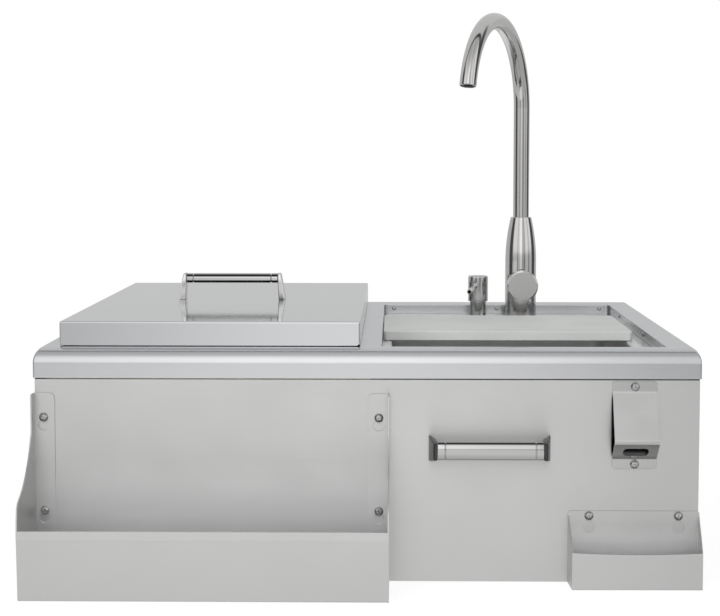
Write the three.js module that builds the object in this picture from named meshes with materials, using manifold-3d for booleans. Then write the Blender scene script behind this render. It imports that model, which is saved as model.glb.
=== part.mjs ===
// A drop-in bar centre: an insulated ice bin with a lift-off lid on the left, and a recessed bar sink with a
// cutting board, a tall swan-neck tap and a soap pump on the right. A bottle rail, a cap catcher, a bottle
// opener and a towel bar hang on the front.
// Millimetres. X runs to the right, Y to the back and Z up. Every piece is placed from the middle of the
// rim's front edge at the height of the deck, and the whole unit is then set with its underside at zero.

import * as THREE from "three";
import { mergeVertices } from "three/addons/utils/BufferGeometryUtils.js";
import Module from "manifold-3d";

const wasm = await Module();
wasm.setup();

// ---------------------------------------------------------------- driving dimensions

const gap = 0.3; // between pieces that touch
const past = 5; // how far a cutter runs past what it cuts

// deck and cabinet
const rimWidth = 762;
const rimDepth = 660;
const rimDrop = 34.75; // height of the rolled front and side edges
const rimRadius = 18.5; // rolled front edge, and the height of the roll all round
const rimSideRoll = 12; // how far the roll reaches in at the two sides
const rimCorner = 2.5; // upright corners of the rim
const deckSheet = 1.5;
const bodyDepth = 269; // deck top to the underside of the cabinet
const panelSheet = 1.2;
const panelSetback = 0.4; // inside face of the rolled edge to the panel behind it

// ice bin
const binSideMargin = 41; // left edge of the rim to the bin
const binWidth = 320;
const binFront = 30;
const binBackMargin = 19; // bin to the back edge of the rim
const underBin = 37; // underside of the cabinet to the floor of the bin
const binCorner = 12;
const binFold = 15; // how far the deck is folded down round the bin
const linerSheet = 1;
const linerFlange = 8;
const insulationWall = 26;
const binDrainRadius = 17;
const binDrainFlange = 28;
const binDrainWall = 4;
const binDrainRim = 1.5;

// lid of the ice bin
const lidOverhang = 12.6; // past the bin's opening
const lidHeight = 27.6;
const lidClearance = 1; // deck to the lower edge of the lid
const lidSheet = 1;
const lidPlugDrop = 14; // how far the inner pan reaches into the bin
const lidPlugClearance = 6;
const gasketWidth = 9;
const lidPanRise = 5; // foot of the gasket to the upper face of the pan's brim
const lidEdge = 2;
const lidPlugCorner = 8;

// sink recess, bowl and drain
const recessSpacing = 37.3; // ice bin to the recess
const recessSideMargin = 37.4; // recess to the right edge of the rim
const recessFrontLand = 1.4; // between the rolled edge and the recess
const recessBackMargin = 45.5; // recess to the back edge of the rim
const recessDepth = 13.5;
const recessCorner = 5;
const panSheet = 1.2;
const ledgeWidth = 11.7; // flange of the bowl that carries the cutting board
const bowlSideMargin = 24.6; // bowl to the right wall of the recess
const tapDeckLength = 139.9; // bowl to the back wall of the recess
const underBowl = 92; // underside of the cabinet to the floor of the bowl
const bowlSheet = 1.2;
const bowlCorner = 18;
const bowlFloorRadius = 22;
const drainHoleRadius = 42;
const drainFlangeWidth = 13;
const strainerDepth = 44;
const tailpieceRadius = 19;
const tubeWall = 1.5;

// cutting board
const boardLength = 230.5;
const boardThickness = 11.5;
const boardLeftGap = 1; // to the wall of the recess
const boardRightGap = 2.6; // to the outer edge of the ledge
const boardSetback = 124.5; // back of the board to the tap
const boardCorner = 6;
const boardEdgeRadius = 1.2;

// tap
const tapOffset = 31.05; // to the right of the middle of the recess
const tapBackMargin = 54.5; // tap to the back wall of the recess
const tapBodyRadius = 21.9;
const tapShoulder = 66; // where the body starts to narrow
const tapTop = 129.5;
const tapMouthWall = 2.9; // round the tube at the top of the body
const spoutRadius = 11.2;
const spoutRise = 282; // deck to the start of the arch
const archRadius = 116;
const archTurn = THREE.MathUtils.degToRad(167.4);
const archHeading = THREE.MathUtils.degToRad(21.6); // from straight ahead, towards the ice bin
const spoutSocket = 32; // length of tube inside the body
const aeratorClearance = 0.9; // the tube still bends where the aerator sits
const knobRadius = 21.8;
const knobHeight = 34;
const knobThickness = 13;
const knobReach = 46; // tap axis to the face of the knob
const hubRadius = 19.5;
const cartridgeRadius = 13;
const stemRadius = 4;
const stemReach = 6; // into the knob
const tapEdge = 0.8;
const spoutSeat = 3; // step that the spout stands on
const shankEngagement = 14;
const shoulderSteps = 7;
const shankRadius = 15;
const shankBore = 8;
const shankLength = 62;
const nutHeight = 9;
const nutWidth = 8; // from the shank to the corners of the nut

// soap pump
const pumpSpacing = 60.5; // to the left of the tap
const pumpNeckRadius = 11.65;
const pumpHeadRadius = 14.15;
const pumpHeadBottom = 9.8;
const pumpHeadTop = 45.9;
const pumpTravel = 14;
const pumpStemRadius = 4;
const nozzleRadius = 3.7;
const nozzleBore = 2.3;
const nozzleReach = 57;
const nozzleDrop = 7.3;
const nozzleHeading = THREE.MathUtils.degToRad(14.5);
const bottleRadius = 27;
const bottleLength = 130;

// bottle rail
const railInset = 0.2; // from the left edge of the rim
const railFromRight = 354.6; // right end of the rail to the right edge of the rim
const railSheet = 1.5;
const railDepthTop = 112;
const railDepthBottom = 107;
const railFrontHeight = 78.5;
const railDrop = 17.25; // lower edge of the rim to the top of the rail
const railUpright = 19; // depth of the narrow upper part of each side
const railFlange = 24.5;
const railBackLip = 14;
const railHem = 10;
const railScrewInset = 12;
const railUpperScrewDrop = 28; // below the top of the rail
const railLowerScrewRise = 2.7; // above the rail's front
const railKeyholeDrop = 8.7;
const railKeyholeRadius = 6.5;
const standOff = 0.3; // bottom edges of the hung pieces above the cabinet's underside

// cap catcher
const catcherInset = 0.7; // from the right edge of the rim
const catcherWidth = 149.9;
const catcherSheet = 1.2;
const catcherHeight = 82.3;
const catcherReach = 42;
const catcherToeIn = 1.7;
const catcherLipHeight = 42;
const catcherLipDip = 2;
const catcherScrewDrop = 5.4; // below the top of the catcher
const catcherScrewInset = 24;
const catcherKeyholeDrop = 13;
const catcherKeyholeRadius = 7;

// bottle opener, over the middle of the catcher
const openerWidth = 50.5;
const openerSheet = 2.4;
const openerDrop = 2.25; // below the edge of the rim
const openerHeight = 100;
const openerBendClearance = 1; // between a screw head and the bend beside it
const openerNoseDrop = 68; // below the top of the opener
const openerReach = 28;
const openerNoseRadius = 4;
const openerSlotWidth = 29;
const openerSlotHeight = 12;
const openerUpperScrewDrop = 6.4;
const openerLowerScrewRise = 4.8; // above the lower edge of the opener

// grip handles: one on the lid, one on the front as a towel bar
const gripBarLength = 118.7;
const gripBarHeight = 19.3;
const gripBarThickness = 12.8;
const gripStandOff = 27.6; // panel to the middle of the bar
const gripFootLength = 137;
const gripFootHeight = 30.6;
const gripFootThickness = 7;
const gripArmThickness = 4.6;
const gripGrooveInset = 8.2;
const gripGrooveWidth = 1.4;
const gripGrooveDepth = 0.7;
const lidGripSetback = 13; // behind the middle of the lid
const towelBarSpacing = 112.8; // right end of the rail to the middle of the towel bar
const towelBarDrop = 79.55; // below the edge of the rim

// screws
const panHeadRadius = 5.2;
const panHeadHeight = 4;
const panShankRadius = 2.4;
const panScrewLength = 12;
const smallHeadRadius = 3.2;
const smallHeadHeight = 1.5;
const smallShankRadius = 1.5;
const smallScrewLength = 7;
const screwClearance = 0.4;
const flangeScrewHeight = -5.5;
const backScrewInset = 14;
const sideScrewFromFront = 206;
const sideScrewFromBack = 132.5;

// roundness
const arcSteps = 5;
const cornerSteps = 3; // for the small upright corners of the rim
const curveSteps = 14; // along the free curves of the hung pieces
const roundSides = 24;
const smallSides = 12;
const knobSides = 32;

// ---------------------------------------------------------------- finishes

function finish(color, roughness, metalness) {
  return new THREE.MeshStandardMaterial({ color, roughness, metalness });
}

const polishedSteel = finish(0xc6c8c9, 0.18, 1);
const brushedSteel = finish(0xc2c2c0, 0.38, 1);
const innerSteel = finish(0xb9bbbc, 0.32, 1);
const tapSteel = finish(0xb4b2ae, 0.26, 1);
const gripChrome = finish(0xcfd1d3, 0.12, 1);
const armSteel = finish(0x6d6e70, 0.35, 1);
const screwSteel = finish(0x9b9ca0, 0.25, 1);
const boardPlastic = finish(0xe2e5e1, 0.55, 0);
const foam = finish(0xe8dcb4, 0.9, 0);
const darkRubber = finish(0x26272a, 0.8, 0);
const brass = finish(0xb89a5a, 0.35, 1);
const bottlePlastic = finish(0xd9dcdc, 0.4, 0);
const valvePlastic = finish(0x3a3d42, 0.5, 0);

// ---------------------------------------------------------------- making solids

function solid(geometry) {
  const bare = new THREE.BufferGeometry();
  bare.setAttribute("position", geometry.getAttribute("position"));
  bare.setIndex(geometry.getIndex());
  const merged = mergeVertices(bare, 1e-4);
  return new wasm.Manifold(
    new wasm.Mesh({
      numProp: 3,
      vertProperties: merged.getAttribute("position").array,
      triVerts: new Uint32Array(merged.getIndex().array),
    }),
  );
}

function geometryOf(made) {
  const surface = made.getMesh();
  const geometry = new THREE.BufferGeometry();
  geometry.setAttribute("position", new THREE.BufferAttribute(surface.vertProperties, 3));
  geometry.setIndex(new THREE.BufferAttribute(surface.triVerts, 1));
  geometry.computeVertexNormals();
  return geometry;
}

function joined(first, ...others) {
  return others.reduce((whole, piece) => whole.add(piece), first);
}

function cut(first, ...cutters) {
  return cutters.reduce((left, cutter) => left.subtract(cutter), first);
}

function block(x0, x1, y0, y1, z0, z1) {
  const geometry = new THREE.BoxGeometry(x1 - x0, y1 - y0, z1 - z0);
  geometry.translate((x0 + x1) / 2, (y0 + y1) / 2, (z0 + z1) / 2);
  return solid(geometry);
}

function extruded(shape, length, curveSegments = arcSteps) {
  const settings = { depth: length, steps: 1, bevelEnabled: false, curveSegments };
  return new THREE.ExtrudeGeometry(shape, settings);
}

// An outline in X and Y, standing from z0 to z1.
function upright(shape, z0, z1) {
  return solid(extruded(shape, z1 - z0).translate(0, 0, z0));
}

// An outline in X and Z, running back from y0 to y1.
function backward(shape, y0, y1, curveSegments = arcSteps) {
  const geometry = extruded(shape, y1 - y0, curveSegments);
  geometry.rotateX(Math.PI / 2);
  geometry.translate(0, y1, 0);
  return solid(geometry);
}

// An outline in Y and Z, running right from x0 to x1.
function sideways(shape, x0, x1, curveSegments = arcSteps) {
  const geometry = extruded(shape, x1 - x0, curveSegments);
  geometry.rotateZ(Math.PI / 2);
  geometry.rotateY(Math.PI / 2);
  geometry.translate(x0, 0, 0);
  return solid(geometry);
}

function polygon(corners) {
  return new THREE.Shape(corners.map(([u, v]) => new THREE.Vector2(u, v)));
}

function rounded(u0, u1, v0, v1, radius) {
  const shape = new THREE.Shape();
  shape.absarc(u0 + radius, v0 + radius, radius, Math.PI, 1.5 * Math.PI);
  shape.absarc(u1 - radius, v0 + radius, radius, 1.5 * Math.PI, 2 * Math.PI);
  shape.absarc(u1 - radius, v1 - radius, radius, 0, 0.5 * Math.PI);
  shape.absarc(u0 + radius, v1 - radius, radius, 0.5 * Math.PI, Math.PI);
  return shape;
}

// A profile of [radius, height] points, turned about the Z axis. It starts and ends on the axis, or closes.
function turned(profile, sides = roundSides) {
  const points = profile.map(([radius, height]) => new THREE.Vector2(radius, height));
  if (profile[0][0] > 0) points.push(points[0].clone());
  if (THREE.ShapeUtils.isClockWise(points)) points.reverse();
  return solid(new THREE.LatheGeometry(points, sides).rotateX(Math.PI / 2));
}

function tubeAt(x, y, outer, inner, z0, z1, sides = roundSides) {
  return turned([[inner, z0], [outer, z0], [outer, z1], [inner, z1]], sides).translate([x, y, 0]);
}

function cylinderAt(x, y, radius, z0, z1, sides = roundSides) {
  return turned([[0, z0], [radius, z0], [radius, z1], [0, z1]], sides).translate([x, y, 0]);
}

function hexNut(x, y, corners, bore, z0, z1) {
  return cut(cylinderAt(x, y, corners, z0, z1, 6), cylinderAt(x, y, bore, z0 - past, z1 + past));
}

// A cylinder along Y.
function crossPin(x, z, radius, y0, y1, sides = smallSides) {
  return cylinderAt(0, 0, radius, y0, y1, sides).rotate([-90, 0, 0]).translate([x, 0, z]);
}

// A skin over closed outlines with as many points each, the lowest first and each anticlockwise from above.
function lofted(rings) {
  const count = rings[0].length;
  const last = (rings.length - 1) * count;
  const faces = [];
  for (let start = 0; start < last; start += count) {
    for (let i = 0; i < count; i++) {
      const a = start + i;
      const b = start + ((i + 1) % count);
      faces.push(a, b, b + count, a, b + count, a + count);
    }
  }
  const flat = (ring) => ring.map(([x, y]) => new THREE.Vector2(x, y));
  for (const [a, b, c] of THREE.ShapeUtils.triangulateShape(flat(rings[0]), [])) faces.push(c, b, a);
  for (const [a, b, c] of THREE.ShapeUtils.triangulateShape(flat(rings.at(-1)), [])) {
    faces.push(last + a, last + b, last + c);
  }
  const geometry = new THREE.BufferGeometry();
  geometry.setAttribute("position", new THREE.Float32BufferAttribute(rings.flat(2), 3));
  geometry.setIndex(faces);
  return solid(geometry);
}

// A rounded rectangle at one height, as a ring for a loft.
function ring(x0, x1, y0, y1, radius, z, steps = arcSteps) {
  const points = [];
  const corners = [[x0 + radius, y0 + radius, 180], [x1 - radius, y0 + radius, 270],
    [x1 - radius, y1 - radius, 0], [x0 + radius, y1 - radius, 90]];
  for (const [cx, cy, start] of corners) {
    for (let i = 0; i <= steps; i++) {
      const angle = THREE.MathUtils.degToRad(start + (90 * i) / steps);
      points.push([cx + radius * Math.cos(angle), cy + radius * Math.sin(angle), z]);
    }
  }
  return points;
}

// ---------------------------------------------------------------- the assembly

const unit = new THREE.Group();

function add(name, made, material) {
  const mesh = new THREE.Mesh(geometryOf(made), material);
  mesh.name = name;
  unit.add(mesh);
  return mesh;
}

// ---------------------------------------------------------------- deck and cabinet

const bodyBottom = -bodyDepth;
const panelFace = deckSheet + panelSetback; // front face of the front panel
const panelTop = -rimRadius - deckSheet;
const notchTop = -rimDrop - gap; // above this height the panels clear the round corners of the rim
const notchWidth = rimCorner;
const sideFace = rimWidth / 2 - panelFace;
const backFace = rimDepth - panelFace;
const binLeft = binSideMargin - rimWidth / 2;
const binRight = binLeft + binWidth;
const binBack = rimDepth - binBackMargin;
const recessLeft = binRight + recessSpacing;
const recessRight = rimWidth / 2 - recessSideMargin;
const recessFront = rimRadius + recessFrontLand;
const recessMiddle = (recessLeft + recessRight) / 2;
const recessBack = rimDepth - recessBackMargin;
const sideScrewPlaces = [recessFront + sideScrewFromFront, recessBack - sideScrewFromBack];
const hungBack = panelFace - gap; // rear faces of what hangs on the front panel
const hungBottom = bodyBottom + standOff;
const railTop = -rimDrop - railDrop;
const railLeft = railInset - rimWidth / 2;
const railRight = rimWidth / 2 - railFromRight;
const railFrontTop = hungBottom + railFrontHeight;
const railScrews = [railLeft + railScrewInset, railRight - railScrewInset];
const railScrewHeights = [railTop - railUpperScrewDrop, railFrontTop + railLowerScrewRise];
const catcherRight = rimWidth / 2 - catcherInset;
const catcherLeft = catcherRight - catcherWidth;
const catcherTop = hungBottom + catcherHeight;
const catcherScrews = [catcherLeft + catcherScrewInset, catcherRight - catcherScrewInset];
const catcherScrewHeight = catcherTop - catcherScrewDrop;
const openerX = (catcherLeft + catcherRight) / 2;
const openerTop = -rimDrop - openerDrop;
const openerBottom = openerTop - openerHeight;
const openerScrewHeights = [openerTop - openerUpperScrewDrop, openerBottom + openerLowerScrewRise];
const openerUpperBend = openerScrewHeights[0] - panHeadRadius - openerBendClearance;
const openerLowerBend = openerScrewHeights[1] + panHeadRadius + openerBendClearance;
const openerNose = openerTop - openerNoseDrop;
const towelBarX = railRight + towelBarSpacing;
const towelBarZ = -rimDrop - towelBarDrop;
const towelBarScrews = gripScrews(towelBarX);

function gripScrews(middle) {
  return [-1, 1].map((side) => middle + (side * (gripFootLength - gripFootThickness)) / 2);
}

// The deck's outer skin, or its inside when it is shrunk by the sheet. Front and side edges are rolled over,
// the front one wider than the sides, and the two rolls meet in a mitre that is ground round.
function deckForm(shrink, bottom) {
  const radius = rimRadius - shrink;
  const sideRoll = rimSideRoll - shrink;
  const corner = rimCorner - shrink;
  const level = (share, z) => {
    const x0 = shrink - rimWidth / 2 + sideRoll * share;
    const front = shrink + radius * share;
    const points = [[x0, rimDepth - shrink, z]];
    for (const [cx, start] of [[x0 + corner, 180], [-x0 - corner, 270]]) {
      for (let i = 0; i <= cornerSteps; i++) {
        const angle = THREE.MathUtils.degToRad(start + (90 * i) / cornerSteps);
        points.push([cx + corner * Math.cos(angle), front + corner + corner * Math.sin(angle), z]);
      }
    }
    points.push([-x0, rimDepth - shrink, z]);
    return points;
  };
  const rings = [level(0, bottom)];
  for (let i = 0; i <= arcSteps; i++) {
    const angle = (Math.PI / 2) * (i / arcSteps);
    rings.push(level(1 - Math.cos(angle), -shrink - radius * (1 - Math.sin(angle))));
  }
  return lofted(rings);
}

function backScrewPlaces() {
  return [recessLeft + backScrewInset, recessMiddle, recessRight - backScrewInset];
}

// Holes for the small screws in the walls of the sink recess.
function flangeScrewHoles() {
  const radius = smallShankRadius + screwClearance;
  const back = backScrewPlaces().map((x) =>
    crossPin(x, flangeScrewHeight, radius, recessBack - past, recessBack + past));
  const across = cylinderAt(0, 0, radius, recessRight - past, recessRight + past, smallSides)
    .rotate([0, 90, 0]);
  const sides = sideScrewPlaces.map((y) => across.translate([0, y, flangeScrewHeight]));
  return [...back, ...sides];
}

// The outlines of the two openings in the deck, widened on every side.
function binOutline(by) {
  return rounded(binLeft - by, binRight + by, binFront - by, binBack + by, binCorner + by);
}

function recessOutline(by) {
  return rounded(recessLeft - by, recessRight + by, recessFront - by, recessBack + by, recessCorner + by);
}

function makeDeck() {
  const shell = cut(deckForm(0, -rimDrop), deckForm(deckSheet, -rimDrop - past));
  const under = -deckSheet / 2;
  const walls = [
    upright(binOutline(deckSheet), -binFold, under),
    upright(recessOutline(deckSheet), gap - recessDepth, under),
  ];
  const holes = [
    upright(binOutline(0), -binFold - past, past),
    upright(recessOutline(0), -recessDepth - past, past),
  ];
  const opened = cut(joined(shell, ...walls), ...holes);
  add("top_deck", cut(opened, ...flangeScrewHoles()), polishedSteel);
}

function makeFrontPanel() {
  const hole = panShankRadius + screwClearance;
  const places = [
    ...railScrews.flatMap((x) => railScrewHeights.map((z) => [x, z])),
    ...catcherScrews.map((x) => [x, catcherScrewHeight]),
    ...openerScrewHeights.map((z) => [openerX, z]),
    ...towelBarScrews.map((x) => [x, towelBarZ]),
  ];
  const holes = places.map(([x, z]) => crossPin(x, z, hole, panelFace - past, panelFace + past));
  const s = sideFace;
  const n = sideFace - notchWidth;
  const outline = polygon([[-s, bodyBottom], [s, bodyBottom], [s, notchTop], [n, notchTop], [n, panelTop],
    [-n, panelTop], [-n, notchTop], [-s, notchTop]]);
  const sheet = backward(outline, panelFace, panelFace + panelSheet);
  add("front_panel", cut(sheet, ...holes), brushedSteel);
}

function makeSidePanels() {
  const front = panelFace + panelSheet + gap;
  const back = backFace - panelSheet - gap;
  const inner = sideFace - panelSheet;
  const notch = front + notchWidth;
  const outline = polygon([[front, bodyBottom], [back, bodyBottom], [back, panelTop], [notch, panelTop],
    [notch, notchTop], [front, notchTop]]);
  add("left_panel", sideways(outline, -sideFace, -inner), brushedSteel);
  add("right_panel", sideways(outline, inner, sideFace), brushedSteel);
}

const hookupWidth = 220;
const hookupHeight = 120;
const hookupCorner = 10;
const hookupBottom = bodyBottom + 60;

function makeBackPanel() {
  const sheet = block(-sideFace, sideFace, backFace - panelSheet, backFace, bodyBottom, panelTop);
  const opening = rounded(recessMiddle - hookupWidth / 2, recessMiddle + hookupWidth / 2, hookupBottom,
    hookupBottom + hookupHeight, hookupCorner);
  add("back_panel", cut(sheet, backward(opening, backFace - past, backFace + past)), brushedSteel);
}

const bowlLeft = recessLeft + ledgeWidth;
const bowlRight = recessRight - bowlSideMargin;
const bowlFront = recessFront + ledgeWidth;
const bowlBack = recessBack - tapDeckLength;
const drainX = (bowlLeft + bowlRight) / 2;
const drainY = (bowlFront + bowlBack) / 2;
const binDrainX = (binLeft + binRight) / 2;
const binDrainY = (binFront + binBack) / 2;
const tailpieceClearance = 5;
const binDrainClearance = 1;

function makeBottomPanel() {
  const inner = sideFace - panelSheet - gap;
  const front = panelFace + panelSheet + gap;
  const back = backFace - panelSheet - gap;
  const sheet = block(-inner, inner, front, back, bodyBottom, bodyBottom + panelSheet);
  const hole = (x, y, radius) => cylinderAt(x, y, radius, bodyBottom - past, bodyBottom + past);
  const sinkHole = hole(drainX, drainY, tailpieceRadius + tailpieceClearance);
  const binHole = hole(binDrainX, binDrainY, binDrainRadius + binDrainClearance);
  add("bottom_panel", cut(sheet, sinkHole, binHole), innerSteel);
}

makeDeck();
makeFrontPanel();
makeSidePanels();
makeBackPanel();
makeBottomPanel();

// ---------------------------------------------------------------- ice bin

const linerLeft = binLeft + gap;
const linerRight = binRight - gap;
const linerFront = binFront + gap;
const linerBack = binBack - gap;
const linerCorner = binCorner - gap;
const linerFloor = bodyBottom + underBin;
const linerUnder = linerFloor - linerSheet;
const flangeTop = gap + linerSheet;
const binNutHeight = 8;
const binNutRadius = 25;

// The outline of the liner, widened on every side.
function linerOutline(by) {
  return rounded(linerLeft - by, linerRight + by, linerFront - by, linerBack + by, linerCorner + by);
}

function makeLiner() {
  const outside = upright(linerOutline(0), linerUnder, flangeTop);
  const flange = upright(linerOutline(linerFlange), gap, flangeTop);
  const inside = upright(linerOutline(-linerSheet), linerFloor, flangeTop + past);
  const drain = cylinderAt(binDrainX, binDrainY, binDrainRadius + gap, linerUnder - past, linerFloor + past);
  add("ice_bin_liner", cut(joined(outside, flange), inside, drain), innerSteel);
}

function makeInsulation() {
  const w = insulationWall;
  const top = -binFold - gap;
  const bottom = bodyBottom + panelSheet + gap;
  const front = panelFace + panelSheet + gap;
  const blockForm = block(linerLeft - w, linerRight + w, front, linerBack + w / 2, bottom, top);
  const cavity = upright(linerOutline(gap), linerUnder - gap, top + past);
  const c = binDrainClearance;
  const pocketBottom = linerUnder - binNutHeight - c;
  const nutPocket = cylinderAt(binDrainX, binDrainY, binNutRadius + c, pocketBottom, linerUnder + past);
  const shaft = cylinderAt(binDrainX, binDrainY, binDrainRadius + c, bottom - past, linerUnder);
  const holeRadius = panShankRadius + screwClearance;
  const screwHoles = railScrews.flatMap((x) =>
    railScrewHeights.map((z) => crossPin(x, z, holeRadius, front - past, panScrewLength)));
  add("ice_bin_insulation", cut(blockForm, cavity, nutPocket, shaft, ...screwHoles), foam);
}

function makeBinDrain() {
  const r = binDrainRadius;
  const bore = r - binDrainWall;
  const seat = linerFloor + gap;
  const rise = binDrainRim;
  const fitting = turned([[bore, bodyBottom + gap], [r, bodyBottom + gap], [r, seat], [binDrainFlange, seat],
    [binDrainFlange - 1, seat + rise], [bore + 2 * rise, seat + rise], [bore, seat - rise]]);
  add("ice_bin_drain", fitting.translate([binDrainX, binDrainY, 0]), polishedSteel);
  const top = linerUnder - gap;
  const nut = hexNut(binDrainX, binDrainY, binNutRadius, r + gap, top - binNutHeight, top);
  add("ice_bin_drain_nut", nut, brass);
}

makeLiner();
makeInsulation();
makeBinDrain();

// ---------------------------------------------------------------- lid

const lidLeft = binLeft - lidOverhang;
const lidRight = binRight + lidOverhang;
const lidFront = binFront - lidOverhang;
const lidBack = binBack + lidOverhang;
const lidTop = lidClearance + lidHeight;
const gasketBottom = flangeTop + gap;
const lidPanTop = gasketBottom + lidPanRise;
const lidEdgeSteps = 3;
const lidGripX = binDrainX;
const lidGripY = binDrainY + lidGripSetback;

function makeLid() {
  const s = lidSheet;
  const g = gap;
  const skinForm = (inset, bottom, top) => {
    const x0 = lidLeft + inset;
    const x1 = lidRight - inset;
    const y0 = lidFront + inset;
    const y1 = lidBack - inset;
    const edge = Math.max(lidEdge - inset, 0.3);
    const rings = [ring(x0, x1, y0, y1, edge + 0.2, bottom)];
    for (let i = 0; i <= lidEdgeSteps; i++) {
      const angle = (Math.PI / 2) * (i / lidEdgeSteps);
      const d = edge * (1 - Math.cos(angle));
      rings.push(ring(x0 + d, x1 - d, y0 + d, y1 - d, edge + 0.2 - d, top - edge * (1 - Math.sin(angle))));
    }
    return lofted(rings);
  };
  const handleHoles = gripScrews(lidGripX).map((x) =>
    cylinderAt(x, lidGripY, panShankRadius + screwClearance, lidTop - past, lidTop + past, smallSides));
  const hollow = skinForm(s, lidClearance - past, lidTop - s);
  add("lid_skin", cut(skinForm(0, lidClearance, lidTop), hollow, ...handleHoles), polishedSteel);

  const plug = linerSheet + lidPlugClearance;
  const plugOutline = (inset) => rounded(linerLeft + plug + inset, linerRight - plug - inset,
    linerFront + plug + inset, linerBack - plug - inset, lidPlugCorner - inset);
  const plugBottom = -lidPlugDrop;
  const t = s + g;
  const brimOutline = rounded(lidLeft + t, lidRight - t, lidFront + t, lidBack - t, 1);
  const brim = upright(brimOutline, lidPanTop - s, lidPanTop);
  const plugOuter = upright(plugOutline(0), plugBottom, lidPanTop);
  const plugInner = upright(plugOutline(s), plugBottom + s, lidPanTop + past);
  add("lid_inner_pan", cut(joined(brim, plugOuter), plugInner), innerSteel);

  const filling = block(lidLeft + t + 1, lidRight - t - 1, lidFront + t + 1, lidBack - t - 1, lidPanTop + g,
    lidTop - s - g);
  const plugFilling = upright(plugOutline(t), plugBottom + t, lidPanTop + 1);
  const pockets = gripScrews(lidGripX).map((x) =>
    cylinderAt(x, lidGripY, panHeadRadius + 1, lidTop - lidHeight / 2, lidTop + past, smallSides));
  add("lid_foam", cut(joined(filling, plugFilling), ...pockets), foam);

  const sealOuter = upright(linerOutline(linerFlange), gasketBottom, lidPanTop - s - g);
  const sealInner = upright(linerOutline(linerFlange - gasketWidth), gasketBottom - past, lidPanTop + past);
  add("lid_gasket", cut(sealOuter, sealInner), darkRubber);
}

makeLid();

// ---------------------------------------------------------------- sink pan, bowl and drain

const panTop = -deckSheet - 0.5;
const panOut = deckSheet + gap + panSheet; // recess wall to the outside of the pan
const ledgeTop = -recessDepth + gap + bowlSheet;
const bowlFloor = bodyBottom + underBowl;
const bowlUnder = bowlFloor - bowlSheet;
const tapHoleRadius = shankRadius + 1.5;
const pumpShankRadius = 11;
const pumpHoleRadius = pumpShankRadius + 1.5;
const tapX = recessMiddle + tapOffset;
const tapY = recessBack - tapBackMargin;
const pumpX = tapX - pumpSpacing;

function makeSinkPan() {
  const outer = upright(recessOutline(panOut), -recessDepth - panSheet, panTop);
  const inner = upright(recessOutline(panOut - panSheet), -recessDepth, panTop + past);
  const b = bowlSheet + gap;
  const bowlHole = rounded(bowlLeft - b, bowlRight + b, bowlFront - b, bowlBack + b, bowlCorner + b);
  const holes = [
    upright(bowlHole, -recessDepth - panSheet - past, past),
    cylinderAt(tapX, tapY, tapHoleRadius, -recessDepth - panSheet - past, past),
    cylinderAt(pumpX, tapY, pumpHoleRadius, -recessDepth - panSheet - past, past),
  ];
  add("sink_pan", cut(outer, inner, ...holes, ...flangeScrewHoles()), innerSteel);
}

function bowlForm(grow, top) {
  const floor = bowlFloor - grow;
  const radius = bowlFloorRadius + grow;
  const rings = [];
  for (let i = 0; i <= 4; i++) {
    const angle = (Math.PI / 2) * (i / 4);
    const inset = radius * (1 - Math.sin(angle)) - grow;
    const corner = Math.max(bowlCorner - inset, 2);
    rings.push(ring(bowlLeft + inset, bowlRight - inset, bowlFront + inset, bowlBack - inset, corner,
      floor + radius * (1 - Math.cos(angle))));
  }
  rings.push(ring(bowlLeft - grow, bowlRight + grow, bowlFront - grow, bowlBack + grow, bowlCorner + grow,
    top));
  return lofted(rings);
}

function makeBowl() {
  const l = ledgeWidth - gap;
  const flange = upright(rounded(bowlLeft - l, bowlRight + l, bowlFront - l, bowlBack + l, recessCorner),
    ledgeTop - bowlSheet, ledgeTop);
  const drainHole = cylinderAt(drainX, drainY, drainHoleRadius + 1, bowlUnder - past, bowlFloor + past);
  const outer = bowlForm(bowlSheet, ledgeTop - bowlSheet / 2);
  add("sink_bowl", cut(joined(outer, flange), bowlForm(0, ledgeTop + past), drainHole), innerSteel);
}

const drainFlangeRadius = drainHoleRadius + drainFlangeWidth;
const strainerTop = bowlFloor + gap;
const strainerBottom = bowlFloor - strainerDepth;
const cupWall = 2;
const cupFootInset = 6;
const cupFloor = strainerBottom + 18;
const collarRadius = 24;
const collarHeight = 12;
const drainFlangeRise = 1.8;
const washerHeight = 3;
const locknutHeight = 6;
const locknutWidth = 8;
const basketWall = 1;
const basketInset = 3; // inside the cup
const basketFootInset = 12;
const basketSink = 3.5; // rim of the basket below the flange
const basketKnobRadius = 7;
const basketKnobHeight = 4;
const basketHoles = 8;
const basketHoleRadius = 4.5;
const basketHoleCircle = drainHoleRadius - 20;
const tailpieceRise = 4; // above the underside of the cabinet

function makeCup() {
  const r = drainHoleRadius;
  const bore = tailpieceRadius - tubeWall;
  const top = strainerTop + drainFlangeRise;
  const shoulderHeight = bowlUnder - 10;
  const cup = turned([
    [bore, strainerBottom],
    [collarRadius, strainerBottom],
    [collarRadius, strainerBottom + collarHeight],
    [r - cupFootInset, cupFloor - cupWall],
    [r, shoulderHeight],
    [r, strainerTop],
    [drainFlangeRadius, strainerTop],
    [drainFlangeRadius - cupWall, top],
    [r + 1, top],
    [r - cupWall, strainerTop - cupWall],
    [r - cupWall, shoulderHeight],
    [r - cupFootInset - cupWall, cupFloor],
    [bore, cupFloor],
  ]);
  add("strainer_cup", cup.translate([drainX, drainY, 0]), polishedSteel);

  const inner = r + gap;
  const washerTop = bowlUnder - gap;
  const nutTop = washerTop - washerHeight - gap;
  const outer = r + locknutWidth;
  add("strainer_gasket", tubeAt(drainX, drainY, outer + 1, inner, washerTop - washerHeight, washerTop),
    darkRubber);
  add("strainer_locknut", tubeAt(drainX, drainY, outer, inner, nutTop - locknutHeight, nutTop), brass);
}

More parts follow.
